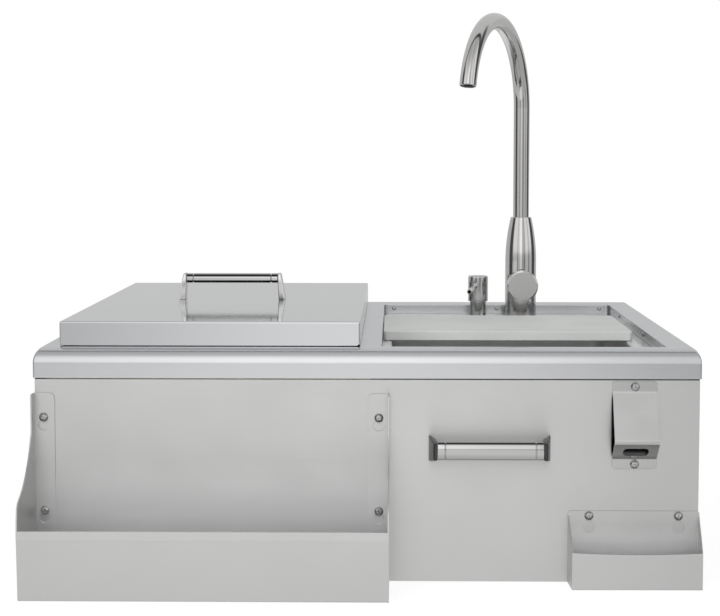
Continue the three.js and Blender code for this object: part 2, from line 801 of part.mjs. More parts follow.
function makeBasket() {
  const top = strainerTop - basketSink;
  const bottom = cupFloor + 1;
  const w = basketWall;
  const rim = drainHoleRadius - basketInset;
  const foot = drainHoleRadius - basketFootInset;
  const stem = basketKnobRadius - basketInset;
  const basket = turned([
    [0, bottom],
    [foot, bottom],
    [rim - 2 * w, top - 2 * w],
    [rim, top],
    [rim, top + w],
    [rim - 3 * w, top + w / 2],
    [foot - w, bottom + w],
    [stem + w, bottom + w],
    [stem, top - 2 * w],
    [basketKnobRadius, top],
    [basketKnobRadius, top + basketKnobHeight - w],
    [0, top + basketKnobHeight],
  ]);
  const holes = [];
  for (let i = 0; i < basketHoles; i++) {
    const angle = (2 * Math.PI * i) / basketHoles;
    holes.push(cylinderAt(basketHoleCircle * Math.cos(angle), basketHoleCircle * Math.sin(angle),
      basketHoleRadius, bottom - past, bottom + past, basketHoles));
  }
  add("strainer_basket", cut(basket, ...holes).translate([drainX, drainY, 0]), polishedSteel);
}

function makeTailpiece() {
  const t = tailpieceRadius;
  const bore = t - tubeWall;
  const bottom = bodyBottom + tailpieceRise;
  const top = strainerBottom - gap;
  const lip = top - 2;
  const tailpiece = turned([[bore, bottom], [t, bottom], [t, lip], [collarRadius - 1, lip],
    [collarRadius - 1, top], [bore, top]]);
  add("sink_tailpiece", tailpiece.translate([drainX, drainY, 0]), polishedSteel);
}

function makeBoard() {
  const left = recessLeft + boardLeftGap;
  const right = bowlRight + ledgeWidth - gap - boardRightGap;
  const back = tapY - boardSetback;
  const front = back - boardLength;
  const bottom = ledgeTop + gap;
  const top = bottom + boardThickness;
  const e = boardEdgeRadius;
  const level = (inset, z) =>
    ring(left + inset, right - inset, front + inset, back - inset, boardCorner - inset, z);
  const levels = [level(e, bottom), level(0, bottom + e), level(0, top - e), level(e, top)];
  add("cutting_board", lofted(levels), boardPlastic);
}

function makeFlangeScrews() {
  const head = smallHeadHeight;
  const screw = turned([[0, -smallScrewLength], [smallShankRadius, -smallScrewLength], [smallShankRadius, 0],
    [smallHeadRadius, 0], [smallHeadRadius * 0.9, head * 0.6], [smallHeadRadius * 0.5, head], [0, head]], 12);
  const forward = screw.rotate([90, 0, 0]);
  const leftward = screw.rotate([0, -90, 0]);
  const z = flangeScrewHeight;
  backScrewPlaces().forEach((x, i) =>
    add(`recess_screw_back_${i + 1}`, forward.translate([x, recessBack - gap, z]), screwSteel));
  sideScrewPlaces.forEach((y, i) =>
    add(`recess_screw_right_${i + 1}`, leftward.translate([recessRight - gap, y, z]), screwSteel));
}

makeSinkPan();
makeBowl();
makeCup();
makeBasket();
makeTailpiece();
makeBoard();
makeFlangeScrews();

// ---------------------------------------------------------------- tap

const tapSeat = -recessDepth + gap;
const tapGasketHeight = 2;
const tapBottom = tapSeat + tapGasketHeight + gap;
const panUnder = -recessDepth - panSheet;

// The riser, and then the arch, leaning out along its heading.
class SpoutPath extends THREE.Curve {
  getPoint(t, target = new THREE.Vector3()) {
    const start = tapTop - spoutSocket;
    const riser = spoutRise - start;
    const along = t * (riser + archRadius * archTurn);
    const turn = Math.max(0, (along - riser) / archRadius);
    const out = archRadius * (1 - Math.cos(turn));
    const height = start + Math.min(along, riser) + archRadius * Math.sin(turn);
    return target.set(-out * Math.sin(archHeading), -out * Math.cos(archHeading), height);
  }
}

function circle(radius, sides) {
  return Array.from({ length: sides }, (_, i) => {
    const angle = (2 * Math.PI * i) / sides;
    return new THREE.Vector2(radius * Math.cos(angle), radius * Math.sin(angle));
  });
}

// The curved shoulder narrows from the body to the mouth, as one arc.
function shoulder(z) {
  const narrowing = tapBodyRadius - (spoutRadius + gap + tapMouthWall);
  const arcRadius = ((tapTop - tapShoulder) ** 2 + narrowing ** 2) / (2 * narrowing);
  return tapBodyRadius - arcRadius + Math.sqrt(arcRadius ** 2 - (z - tapShoulder) ** 2);
}

function makeTapBody() {
  const r = tapBodyRadius;
  const e = tapEdge;
  const bore = spoutRadius + gap;
  const waterway = bore - spoutSeat;
  const rootTop = tapBottom + shankEngagement;
  const profile = [[shankRadius + gap, tapBottom], [r - e, tapBottom], [r, tapBottom + e], [r, tapShoulder]];
  for (let i = 1; i <= shoulderSteps; i++) {
    const z = tapShoulder + ((tapTop - e - tapShoulder) * i) / shoulderSteps;
    profile.push([shoulder(z), z]);
  }
  const mouth = tapTop - spoutSocket - gap;
  profile.push([shoulder(tapTop) - e, tapTop], [bore, tapTop], [bore, mouth], [waterway, mouth],
    [waterway, rootTop], [shankRadius + gap, rootTop]);
  const body = turned(profile).translate([tapX, tapY, 0]);
  const face = tapY - knobReach;
  const pin = (radius, y0, y1) => crossPin(tapX, knobHeight, radius, y0, y1, roundSides);
  const hub = pin(hubRadius, face + knobThickness + gap, tapY - bore);
  const pocket = pin(cartridgeRadius + gap, face, tapY - bore - spoutSeat);
  const port = pin(stemRadius, face, tapY);
  add("tap_body", cut(joined(body, hub), pocket, port), tapSteel);
}

function makeSpout() {
  const path = new SpoutPath();
  const section = new THREE.Shape(circle(spoutRadius, 18));
  section.holes.push(new THREE.Path(circle(spoutRadius - tubeWall, 12)));
  const geometry = new THREE.ExtrudeGeometry(section, { extrudePath: path, steps: 36, bevelEnabled: false });
  add("tap_spout", solid(geometry).translate([tapX, tapY, 0]), tapSteel);

  const end = path.getPoint(1);
  const turn = THREE.MathUtils.radToDeg(archTurn);
  const r = spoutRadius - tubeWall - aeratorClearance;
  const insert = turned([[3, -9], [r, -9], [r, -1], [r - 2.5, -1], [r - 2.5, -4], [3, -4]], 12);
  const tilted = insert.rotate([turn, 0, 0]).rotate([0, 0, -THREE.MathUtils.radToDeg(archHeading)]);
  add("tap_aerator", tilted.translate([tapX + end.x, tapY + end.y, end.z]), valvePlastic);
}

function makeTapFixings() {
  const gasketTop = tapSeat + tapGasketHeight;
  add("tap_gasket", tubeAt(tapX, tapY, tapBodyRadius + 1, shankRadius + gap, tapSeat, gasketTop), darkRubber);
  const shankTop = tapBottom + shankEngagement - gap;
  add("tap_shank", tubeAt(tapX, tapY, shankRadius, shankBore, panUnder - shankLength, shankTop), brass);
  const top = panUnder - gap;
  add("tap_nut", hexNut(tapX, tapY, shankRadius + nutWidth, shankRadius + gap, top - nutHeight, top), brass);

  const back = tapY - spoutRadius - gap - spoutSeat - gap;
  const front = tapY - knobReach + knobThickness;
  const cartridge = joined(
    crossPin(tapX, knobHeight, cartridgeRadius, front + 3, back, roundSides),
    crossPin(tapX, knobHeight, stemRadius, front - stemReach, front + 4),
  );
  add("tap_cartridge", cartridge, valvePlastic);
}

function makeKnob() {
  const r = knobRadius;
  const t = knobThickness;
  const e = tapEdge;
  const knob = turned([[0, 0], [r - e, 0], [r, e], [r, t - e], [r - e, t], [0, t]], knobSides);
  const socket = cylinderAt(0, 0, stemRadius + gap, -past, stemReach + gap, smallSides);
  const facing = cut(knob, socket).rotate([90, 0, 0]);
  add("tap_knob", facing.translate([tapX, tapY - knobReach + t, knobHeight]), tapSteel);
}

makeTapBody();
makeSpout();
makeTapFixings();
makeKnob();

// ---------------------------------------------------------------- soap pump

const pumpFlangeHeight = 3;
const pumpFlangeRadius = 17;
const pumpStemLength = 24; // below the top of the neck
const pumpCapEdge = 1.4;
const nozzleRoot = 1.5; // how deep the nozzle is set in the wall of the cap
const dipTubeWall = 1.2;
const bottleWall = 1.2;
const pumpNeckTop = pumpHeadBottom + 11;
const pumpSkirtBore = pumpNeckRadius + gap;
const pumpChamberTop = pumpNeckTop + pumpTravel + 1;
const pumpBarrelBottom = panUnder - 44;

function makePump() {
  const stemBore = pumpStemRadius + gap;
  const collar = turned([
    [stemBore, pumpBarrelBottom],
    [pumpShankRadius, pumpBarrelBottom],
    [pumpShankRadius, tapSeat],
    [pumpFlangeRadius, tapSeat],
    [pumpFlangeRadius, tapSeat + pumpFlangeHeight / 2],
    [pumpFlangeRadius - pumpFlangeHeight, tapSeat + pumpFlangeHeight],
    [pumpNeckRadius, tapSeat + pumpFlangeHeight],
    [pumpNeckRadius, pumpNeckTop],
    [stemBore, pumpNeckTop],
  ]);
  add("soap_pump_collar", collar.translate([pumpX, tapY, 0]), tapSteel);

  const r = pumpHeadRadius;
  const cap = turned([
    [0, pumpNeckTop - pumpStemLength],
    [pumpStemRadius, pumpNeckTop - pumpStemLength],
    [pumpStemRadius, pumpChamberTop],
    [pumpSkirtBore, pumpChamberTop],
    [pumpSkirtBore, pumpHeadBottom],
    [r - 0.4, pumpHeadBottom],
    [r, pumpHeadBottom + 0.4],
    [r, pumpHeadTop - pumpCapEdge],
    [r - pumpCapEdge, pumpHeadTop],
    [0, pumpHeadTop],
  ]);
  const tilt = Math.atan2(nozzleDrop, nozzleReach);
  const nozzleLength = nozzleReach / Math.cos(tilt);
  const degrees = THREE.MathUtils.radToDeg;
  const aim = (made) => made
    .rotate([90 + degrees(tilt), 0, 0])
    .rotate([0, 0, -degrees(nozzleHeading)])
    .translate([0, 0, knobHeight]);
  const nozzle = aim(cylinderAt(0, 0, nozzleRadius, pumpHeadRadius - nozzleRoot, nozzleLength, smallSides));
  const bore = aim(cylinderAt(0, 0, nozzleBore, pumpHeadRadius, nozzleLength + past, smallSides));
  add("soap_pump_head", cut(joined(cap, nozzle), bore).translate([pumpX, tapY, 0]), tapSteel);

  const top = panUnder - gap;
  const nut = hexNut(pumpX, tapY, pumpShankRadius + nutWidth, pumpShankRadius + gap, top - nutHeight, top);
  add("soap_pump_nut", nut, valvePlastic);

  const b = bottleRadius;
  const neck = pumpShankRadius + gap;
  const mouth = top - nutHeight - gap;
  const base = mouth - bottleLength;
  const w = bottleWall;
  const slopeFoot = mouth - 26;
  const slopeMiddle = mouth - 15;
  const slopeTop = mouth - 12;
  const bottle = turned([
    [0, base], [b - 3, base], [b, base + 3], [b, slopeFoot], [b - 8, slopeMiddle], [neck + w, slopeTop],
    [neck + w, mouth], [neck, mouth], [neck, slopeTop - w], [b - 8 - w, slopeMiddle - w],
    [b - w, slopeFoot - w], [b - w, base + 3], [b - 3 - w, base + w], [0, base + w],
  ]);
  add("soap_bottle", bottle.translate([pumpX, tapY, 0]), bottlePlastic);
  const outer = pumpStemRadius;
  const inner = pumpStemRadius - dipTubeWall;
  const tube = tubeAt(pumpX, tapY, outer, inner, base + 5, pumpBarrelBottom + 8, smallSides);
  add("soap_dip_tube", tube, bottlePlastic);
}

makePump();

// ---------------------------------------------------------------- screws on the front

// A pan-head screw whose head rests on a sheet with its face at the given distance in front of the cabinet.
function panScrew(name, x, z, faceOffset) {
  const r = panHeadRadius;
  const h = panHeadHeight;
  const screw = turned([
    [0, -panScrewLength],
    [panShankRadius, -panScrewLength],
    [panShankRadius, 0],
    [r, 0],
    [r, h * 0.35],
    [r * 0.88, h * 0.7],
    [r * 0.6, h * 0.93],
    [0, h],
  ], smallSides);
  add(name, screw.rotate([90, 0, 0]).translate([x, panelFace - faceOffset - gap, z]), screwSteel);
}

function keyhole(x, screwZ, drop, holeRadius, y0, y1) {
  const slot = panShankRadius + screwClearance;
  const neck = rounded(x - slot, x + slot, screwZ - drop, screwZ + slot, slot * 0.98);
  return [backward(neck, y0, y1), crossPin(x, screwZ - drop, holeRadius, y0, y1, roundSides)];
}

// ---------------------------------------------------------------- bottle rail

// Seen from the side: a narrow upright against the cabinet that sweeps out to the height of the front.
function railSide() {
  const shape = new THREE.Shape();
  const wall = hungBack;
  const upright = wall - railUpright;
  const front = wall - railDepthTop;
  const height = (share) => railFrontTop + share * (railTop - railFrontTop);
  shape.moveTo(wall, hungBottom);
  shape.lineTo(wall, railTop - 4);
  shape.lineTo(wall - 4, railTop);
  shape.lineTo(upright + 4, railTop);
  shape.quadraticCurveTo(upright, railTop, upright, railTop - 5);
  shape.lineTo(upright, height(0.7));
  shape.bezierCurveTo(upright - 14, height(0.48), front + 50, height(0.305), front + 16, height(0.23));
  shape.quadraticCurveTo(front + 3, height(0.2), front + 1, height(0.09));
  shape.lineTo(front, railFrontTop);
  shape.lineTo(wall - railDepthBottom, hungBottom);
  return shape;
}

function makeRail() {
  const s = railSheet;
  const wall = hungBack;
  const front = sideways(polygon([
    [wall - railDepthBottom, hungBottom],
    [wall - railDepthBottom + s, hungBottom],
    [wall - railDepthTop + s, railFrontTop],
    [wall - railDepthTop, railFrontTop],
  ]), railLeft, railRight);
  const bottom = block(railLeft, railRight, wall - railDepthBottom, wall, hungBottom, hungBottom + s);
  const backLip = block(railLeft, railRight, wall - s, wall, hungBottom, hungBottom + railBackLip);
  const hem = block(railLeft, railRight, wall - railDepthTop, wall - railDepthTop + 2 * s + 1,
    railFrontTop - railHem, railFrontTop);
  const flangeAt = (x0, x1, tipX) => {
    const shape = new THREE.Shape();
    shape.moveTo(x0, hungBottom);
    shape.lineTo(x1, hungBottom);
    if (tipX === x1) {
      shape.lineTo(x1, railTop - 8);
      shape.quadraticCurveTo(x1, railTop, x1 - 8, railTop);
      shape.lineTo(x0, railTop);
    } else {
      shape.lineTo(x1, railTop);
      shape.lineTo(x0 + 8, railTop);
      shape.quadraticCurveTo(x0, railTop, x0, railTop - 8);
    }
    return backward(shape, wall - s, wall, curveSteps);
  };
  const left = joined(sideways(railSide(), railLeft, railLeft + s, curveSteps),
    flangeAt(railLeft, railLeft + railFlange, railLeft + railFlange));
  const right = joined(sideways(railSide(), railRight - s, railRight, curveSteps),
    flangeAt(railRight - railFlange, railRight, railRight - railFlange));
  const keyholes = railScrews.flatMap((x) =>
    railScrewHeights.flatMap((z) =>
      keyhole(x, z, railKeyholeDrop, railKeyholeRadius, wall - past, wall + past)));
  add("speed_rail", cut(joined(front, bottom, backLip, hem, left, right), ...keyholes), brushedSteel);

  const names = ["left", "right"];
  railScrews.forEach((x, i) => {
    panScrew(`rail_screw_${names[i]}_upper`, x, railScrewHeights[0], gap + s);
    panScrew(`rail_screw_${names[i]}_lower`, x, railScrewHeights[1], gap + s);
  });
}

makeRail();

// ---------------------------------------------------------------- cap catcher

function makeCatcher() {
  const s = catcherSheet;
  const wall = hungBack;
  const left = catcherLeft;
  const right = catcherRight;
  const lip = wall - catcherReach;
  const lipTop = hungBottom + catcherLipHeight;
  const toe = catcherToeIn;
  const back = backward(rounded(left, right, hungBottom, catcherTop, 3), wall - s, wall);
  const side = polygon([[0, hungBottom], [0, catcherTop - 4], [-catcherReach, lipTop],
    [-catcherReach, hungBottom]]);
  const angle = THREE.MathUtils.radToDeg(Math.atan2(toe, catcherReach));
  const leftSide = sideways(side, 0, s).rotate([0, 0, angle]).translate([left, wall, 0]);
  const rightSide = sideways(side, -s, 0).rotate([0, 0, -angle]).translate([right, wall, 0]);
  const front = new THREE.Shape();
  front.moveTo(left + toe, hungBottom);
  front.lineTo(right - toe, hungBottom);
  front.lineTo(right - toe, lipTop);
  front.quadraticCurveTo((left + right) / 2, lipTop - 2 * catcherLipDip, left + toe, lipTop);
  const base = polygon([[left, wall], [left + toe, lip], [right - toe, lip], [right, wall]]);
  const floor = upright(base, hungBottom, hungBottom + s);
  const keyholes = catcherScrews.flatMap((x) =>
    keyhole(x, catcherScrewHeight, catcherKeyholeDrop, catcherKeyholeRadius, wall - past, wall + past));
  const lipSheet = backward(front, lip, lip + s, curveSteps);
  const tray = joined(back, leftSide, rightSide, lipSheet, floor);
  add("cap_catcher", cut(tray, ...keyholes), brushedSteel);
  panScrew("catcher_screw_left", catcherScrews[0], catcherScrewHeight, gap + s);
  panScrew("catcher_screw_right", catcherScrews[1], catcherScrewHeight, gap + s);
}

makeCatcher();

// ---------------------------------------------------------------- bottle opener

// Seen from the side: a flange, a long slope out to the nose, a short slope back and a flange.
function openerProfile() {
  const s = openerSheet;
  const wall = hungBack;
  const nose = wall - openerReach;
  const r = openerNoseRadius;
  const shape = new THREE.Shape();
  shape.moveTo(wall, openerTop);
  shape.lineTo(wall - s, openerTop);
  shape.lineTo(wall - s, openerUpperBend);
  shape.lineTo(nose, openerNose + r);
  shape.quadraticCurveTo(nose - 0.6, openerNose, nose + r, openerNose - r);
  shape.lineTo(wall - s, openerLowerBend - 1);
  shape.lineTo(wall - s, openerBottom);
  shape.lineTo(wall, openerBottom);
  shape.lineTo(wall, openerLowerBend + s * 0.3);
  shape.lineTo(nose + s + r, openerNose - r + s * 0.9);
  shape.quadraticCurveTo(nose + s, openerNose, nose + s + 0.4, openerNose + r);
  shape.lineTo(wall, openerUpperBend + s * 0.4);
  return shape;
}

function makeOpener() {
  const half = openerWidth / 2;
  const strip = sideways(openerProfile(), openerX - half, openerX + half, curveSteps);
  const slotMiddle = (openerNose + openerLowerBend) / 2 - 1;
  const slot = backward(rounded(openerX - openerSlotWidth / 2, openerX + openerSlotWidth / 2,
    slotMiddle - openerSlotHeight / 2, slotMiddle + openerSlotHeight / 2, openerSlotHeight / 2 - 0.1),
  hungBack - openerReach - past, hungBack - openerSheet - 1);
  const holes = openerScrewHeights.map((z) =>
    crossPin(openerX, z, panShankRadius + screwClearance, hungBack - past, hungBack + past));
  add("bottle_opener", cut(strip, slot, ...holes), polishedSteel);
  panScrew("opener_screw_upper", openerX, openerScrewHeights[0], gap + openerSheet);
  panScrew("opener_screw_lower", openerX, openerScrewHeights[1], gap + openerSheet);
}

makeOpener();

// ---------------------------------------------------------------- grip handles

// An oval section across X, as the outline of the bar and of its arms.
function oval(x, height, thickness, middle, steps = 24) {
  const points = [];
  for (let i = 0; i < steps; i++) {
    const angle = (2 * Math.PI * i) / steps;
    const c = Math.cos(angle);
    const w = Math.sin(angle);
    const square = (value) => Math.sign(value) * Math.abs(value) ** 0.75;
    points.push([x, (height / 2) * square(c), middle + (thickness / 2) * square(w)]);
  }
  return points;
}

// The same skin as lofted, for outlines that follow one another along X.
function loftedAlongX(rings) {
  const turnedUp = rings.map((points) => points.map(([x, y, z]) => [y, z, x]));
  const made = lofted(turnedUp);
  return made.rotate([90, 0, 0]).rotate([0, 0, 90]);
}

// Bar and arms stand on the plane z = 0 of their own frame, with the bar along X.
function gripBar() {
  const end = gripBarLength / 2;
  const g = gripGrooveWidth;
  const d = gripGrooveDepth;
  const level = (x, inset) => oval(x, gripBarHeight - 2 * inset, gripBarThickness - 2 * inset, gripStandOff);
  const slope = g / 7;
  const groove = (x) => [level(x - g / 2, 0), level(x - g / 2 + slope, d), level(x + g / 2 - slope, d),
    level(x + g / 2, 0)];
  const x = end - gripGrooveInset;
  return loftedAlongX([level(-end, 0), ...groove(-x), ...groove(x), level(end, 0)]);
}

function gripArm(side) {
  const bar = gripBarLength / 2 + gap;
  const foot = gripFootLength / 2;
  const top = gripStandOff + gripBarThickness / 2;
  const level = (inner, outer, height, z) => {
    const x0 = side > 0 ? inner : -outer;
    const x1 = side > 0 ? outer : -inner;
    return ring(x0, x1, -height / 2, height / 2, Math.min(1.6, (outer - inner) / 2.2), z, 3);
  };
  const t = gripArmThickness;
  return lofted([
    level(foot - gripFootThickness, foot, gripFootHeight, gap),
    level(foot - gripFootThickness, foot, gripFootHeight, 3),
    level(bar, bar + t + 1.6, gripBarHeight + 4, gripStandOff - gripBarThickness / 2 - 2),
    level(bar, bar + t, gripBarHeight + 0.4, gripStandOff),
    level(bar, bar + t - 0.8, gripBarHeight - 1.5, top - 1.2),
    level(bar, bar + t - 2, gripBarHeight - 5, top + 0.2),
  ]);
}

function makeGrip(barName, armPrefix, place) {
  add(barName, place(gripBar()), gripChrome);
  add(`${armPrefix}_left_arm`, place(gripArm(-1)), armSteel);
  add(`${armPrefix}_right_arm`, place(gripArm(1)), armSteel);
}

makeGrip("lid_handle_bar", "lid_handle", (made) => made.translate([lidGripX, lidGripY, lidTop]));
makeGrip("towel_bar", "towel_bar", (made) =>
  made.rotate([90, 0, 0]).translate([towelBarX, panelFace, towelBarZ]));

// ---------------------------------------------------------------- set down on its underside

const reach = railDepthTop - hungBack; // rail front in front of the rim
const assembly = new THREE.Group();
unit.position.set(0, (reach - rimDepth) / 2, bodyDepth);
assembly.add(unit);

export default assembly;
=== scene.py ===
# %% [markdown]
# # A bar sink with an ice bin
#
# This notebook dresses a finished construction. The frame that is loaded first holds every part at its real
# size, and the cells below give those parts the curves, edges and finishes of the real steel unit.

# %% Load the construction
import math
import bmesh
import bpy
from mathutils import Matrix, Vector


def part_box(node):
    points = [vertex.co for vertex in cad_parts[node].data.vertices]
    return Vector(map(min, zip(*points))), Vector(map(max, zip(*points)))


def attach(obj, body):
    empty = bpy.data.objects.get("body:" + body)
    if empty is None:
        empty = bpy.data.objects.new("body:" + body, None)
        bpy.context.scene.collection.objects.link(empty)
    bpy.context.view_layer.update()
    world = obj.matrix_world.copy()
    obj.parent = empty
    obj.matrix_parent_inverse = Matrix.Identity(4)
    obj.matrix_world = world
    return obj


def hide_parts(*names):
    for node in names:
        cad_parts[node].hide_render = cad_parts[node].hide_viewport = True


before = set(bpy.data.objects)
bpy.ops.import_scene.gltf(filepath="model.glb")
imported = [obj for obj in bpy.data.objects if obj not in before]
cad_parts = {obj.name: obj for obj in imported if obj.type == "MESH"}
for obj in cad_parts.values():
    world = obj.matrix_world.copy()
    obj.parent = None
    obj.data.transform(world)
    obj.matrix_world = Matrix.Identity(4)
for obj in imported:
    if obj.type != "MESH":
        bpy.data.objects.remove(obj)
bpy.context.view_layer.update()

# %% [markdown]
# ## Where things are
#
# The construction measures everything from one corner: the middle of the deck's front edge, at the height of
# its top. The same corner is found here, so that millimetres mean the same place in both.

# %% One corner for every size
MM = 0.001
deck_low, deck_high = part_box("top_deck")
front_edge = deck_low.y / MM
deck_top = deck_high.z / MM


def place(x, y, z):
    """Millimetres from the middle of the front edge at deck height, as metres in the frame."""
    return Vector((x, y + front_edge, z + deck_top)) * MM


def in_mm(point):
    """The other way round: metres in the frame as those millimetres."""
    return Vector((point.x / MM, point.y / MM - front_edge, point.z / MM - deck_top))


def extent(node):
    """The two corners of a part's box, in those millimetres."""
    return [in_mm(corner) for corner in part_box(node)]


def middle_of(node):
    low, high = extent(node)
    return (low + high) / 2


rim_low, rim_high = extent("top_deck")
rim_left, rim_right, rim_back = (round(v, 2) for v in (rim_low.x, rim_high.x, rim_high.y))
rim_drop = round(-rim_low.z, 2)
cabinet_bottom = round(extent("front_panel")[0].z, 2)
print("rim", rim_left, rim_right, rim_back, "drop", rim_drop, "bottom", cabinet_bottom)

# %% [markdown]
# ## The camera
#
# The unit was photographed with a long lens from about two metres away, a little above the deck. The camera
# comes first, because every later choice is judged through it.

# %% Camera
LENS = 94.9
SENSOR = 36
FARTHEST = 50
CAMERA_AT = (32.8, -2145.0, 224.5)
TURNED_LEFT = 0.0186
TILTED_DOWN = 0.0831


def added(name, data):
    """A new object in the scene that holds the data."""
    obj = bpy.data.objects.new(name, data)
    bpy.context.collection.objects.link(obj)
    return obj


camera = added("camera", bpy.data.cameras.new("camera"))
camera.data.lens = LENS
camera.data.sensor_width = SENSOR
camera.data.sensor_fit = "HORIZONTAL"
camera.data.clip_end = FARTHEST
camera.location = place(*CAMERA_AT)
camera.rotation_euler = (math.pi / 2 - TILTED_DOWN, 0, TURNED_LEFT)
bpy.context.scene.camera = camera
bpy.context.scene.view_settings.view_transform = "Standard"
print("camera at", [round(v, 3) for v in camera.location])

# %% [markdown]
# ## Node trees that read like arithmetic
#
# A procedural finish is a sum of simple fields: streaks, clouds, spots. Wired by hand that takes dozens of
# Math nodes. A small class that wraps a socket lets the same maths be written as an ordinary expression, and
# a second class adds any node to any tree.

# %% Sockets and node trees
class Field:
    """A value that varies over a surface: one output socket, with arithmetic."""

    def __init__(self, tree, socket):
        self.tree = tree
        self.socket = socket

    def absolute(self):
        return self.tree.maths("ABSOLUTE", self)

    def step_up(self, low, high):
        """0 below low and 1 above high, with a smooth rise between."""
        return self.tree.node("MapRange", {"Value": self, "From Min": low, "From Max": high},
                              {"interpolation_type": "SMOOTHSTEP"})

    def band(self, start, full, still, end):
        """0, then 1 between full and still, then 0 again."""
        return self.step_up(start, full) * (1 - self.step_up(still, end))


def operator(operation, swapped):
    def apply(self, other):
        return self.tree.maths(operation, *((other, self) if swapped else (self, other)))
    return apply


for sign, operation in (("add", "ADD"), ("sub", "SUBTRACT"), ("mul", "MULTIPLY"), ("pow", "POWER")):
    setattr(Field, f"__{sign}__", operator(operation, False))
    setattr(Field, f"__r{sign}__", operator(operation, True))


class Wiring:
    """A node tree, with one way to add any node."""

    def __init__(self, tree):
        self.tree = tree
        tree.nodes.clear()

    def node(self, kind, values=(), settings=None, output=0):
        """Adds a node, links or sets its inputs and gives back one output. A list holds several links."""
        made = self.tree.nodes.new(kind if "Node" in kind else "ShaderNode" + kind)
        for key, value in (settings or {}).items():
            setattr(made, key, value)
        for key, value in values.items() if isinstance(values, dict) else enumerate(values):
            for one in value if isinstance(value, list) else [value]:
                if isinstance(one, Field):
                    self.tree.links.new(one.socket, made.inputs[key])
                else:
                    made.inputs[key].default_value = one
        return Field(self, made.outputs[output]) if made.outputs else made

    def maths(self, operation, *values):
        return self.node("Math", values, {"operation": operation})

    def position(self, stretch=(1, 1, 1)):
        """Where a point lies on the object, in metres, with each axis stretched."""
        here = self.node("TexCoord", output="Object")
        return self.node("VectorMath", (here, stretch), {"operation": "MULTIPLY"})

    def axes(self, point=None):
        """The x, y and z of a point, or of the place on the object."""
        return [self.node("SeparateXYZ", (point or self.position(),), output=i) for i in range(3)]

    def noise(self, scale, detail=2.0):
        """Soft spots, so many to a metre, or with a number of their own along each axis."""
        stretch = scale if isinstance(scale, tuple) else (scale,) * 3
        return self.node("TexNoise", {"Vector": self.position(stretch), "Scale": 1.0, "Detail": detail})

    def blend(self, factor, first, second):
        """A colour between two others."""
        return self.node("Mix", {0: factor, 6: first, 7: second}, {"data_type": "RGBA"}, 2)

    def ray(self, *kinds):
        """1 for a ray of any of these kinds."""
        total, *others = [self.node("LightPath", output=f"Is {kind} Ray") for kind in kinds]
        for other in others:
            total = self.maths("MAXIMUM", total, other)
        return total

    def bump(self, height, distance, below=None):
        under = {} if below is None else {"Normal": below}
        return self.node("Bump", {"Height": height, "Distance": distance, "Strength": 1.0, **under})


def wiring_of(owner):
    """The empty node tree of a material or of the world."""
    owner.use_nodes = True
    return Wiring(owner.node_tree)


def rgba(tone, tint=(1.0, 1.0, 1.0)):
    return tuple(tone * t for t in tint) + (1.0,)


def surface(name, **values):
    """A material whose sockets take numbers, colours, or functions that draw a field."""
    material = bpy.data.materials.new(name)
    s = wiring_of(material)
    sockets = {key.replace("_", " "): value(s) if callable(value) else value for key, value in values.items()}
    s.node("OutputMaterial", (s.node("BsdfPrincipled", sockets),))
    return material


print("fields can be added, subtracted, multiplied and raised to a power")

# %% [markdown]
# ## The studio
#
# Polished metal has almost no colour of its own: what reads as steel is the room around it. The unit stood
# in white, with a wide window of light low in front, a dark beam overhead and dark walls to both sides that
# draw the bands down the tap. One world shader holds these walls. The camera itself sees plain white.

# %% World
WALL = 0.80
BACKDROP = 0.765
BACKDROP_HIGH = 0.16
SIDE_DARK = 0.11
BEAM = 0.05
HIGH_FRONT = 0.68
HIGH_GLOW = 0.14
GLOW = 0.46
GLOW_AT = -0.02
WINDOW = 0.52
WINDOW_GLOW = 0.20
STREAK = 0.52
RIGHT_FALL = 0.34
# Bands in degrees to the right of straight ahead: start, full, still full, end.
NEAR_STREAKS = (21, 24, 28, 31)
FAR_STREAK = (54, 57, 62, 66)
RIGHT_FADE = (1, 11, 20, 35)
LEFT_WALL = (-102, -93, -71, -61)
RIGHT_WALL = (82, 91, 114, 126)
# Steps upwards, as the sine of the angle above the horizon.
WALLS_END = (0.50, 0.80)
WINDOW_STARTS = (0.0, 0.07)
WINDOW_ENDS = (0.50, 0.88)
BACKDROP_RISES = (0.10, 0.45)
HIGH_STARTS = (0.70, 0.97)
BEAM_STARTS = (0.4, 0.6)


def studio_walls(s):
    """How bright the room is, all the way round."""
    x, y, z = s.axes(s.node("TexCoord", output="Generated"))
    turn = s.maths("ARCTAN2", x, 0 - y) * (180 / math.pi)
    ahead = 1 - y.step_up(-0.12, 0.0)
    low = 1 - z.step_up(*WALLS_END)
    centre = 1 - (x - GLOW_AT).absolute().step_up(0.0, 0.20)
    window = ahead * z.step_up(*WINDOW_STARTS) * (1 - z.step_up(*WINDOW_ENDS))
    back = BACKDROP + BACKDROP_HIGH * z.step_up(*BACKDROP_RISES)
    level = back * (1 - ahead) + ahead * (WALL + centre * GLOW)
    level = level + window * (WINDOW + centre * WINDOW_GLOW)
    streaks = turn.absolute().band(*NEAR_STREAKS) + turn.band(*FAR_STREAK)
    sides = turn.band(*LEFT_WALL) + turn.band(*RIGHT_WALL)
    level = (level - streaks * low * STREAK) * (1 - turn.band(*RIGHT_FADE) * low * RIGHT_FALL)
    beam = z.step_up(*BEAM_STARTS) * (1 - (y - 0.01).absolute().step_up(0.03, 0.09))
    for share, tone in ((ahead * z.step_up(*HIGH_STARTS), HIGH_FRONT + centre * HIGH_GLOW),
                        (sides * low, SIDE_DARK), (beam, BEAM)):
        level = level * (1 - share) + share * tone
    return level


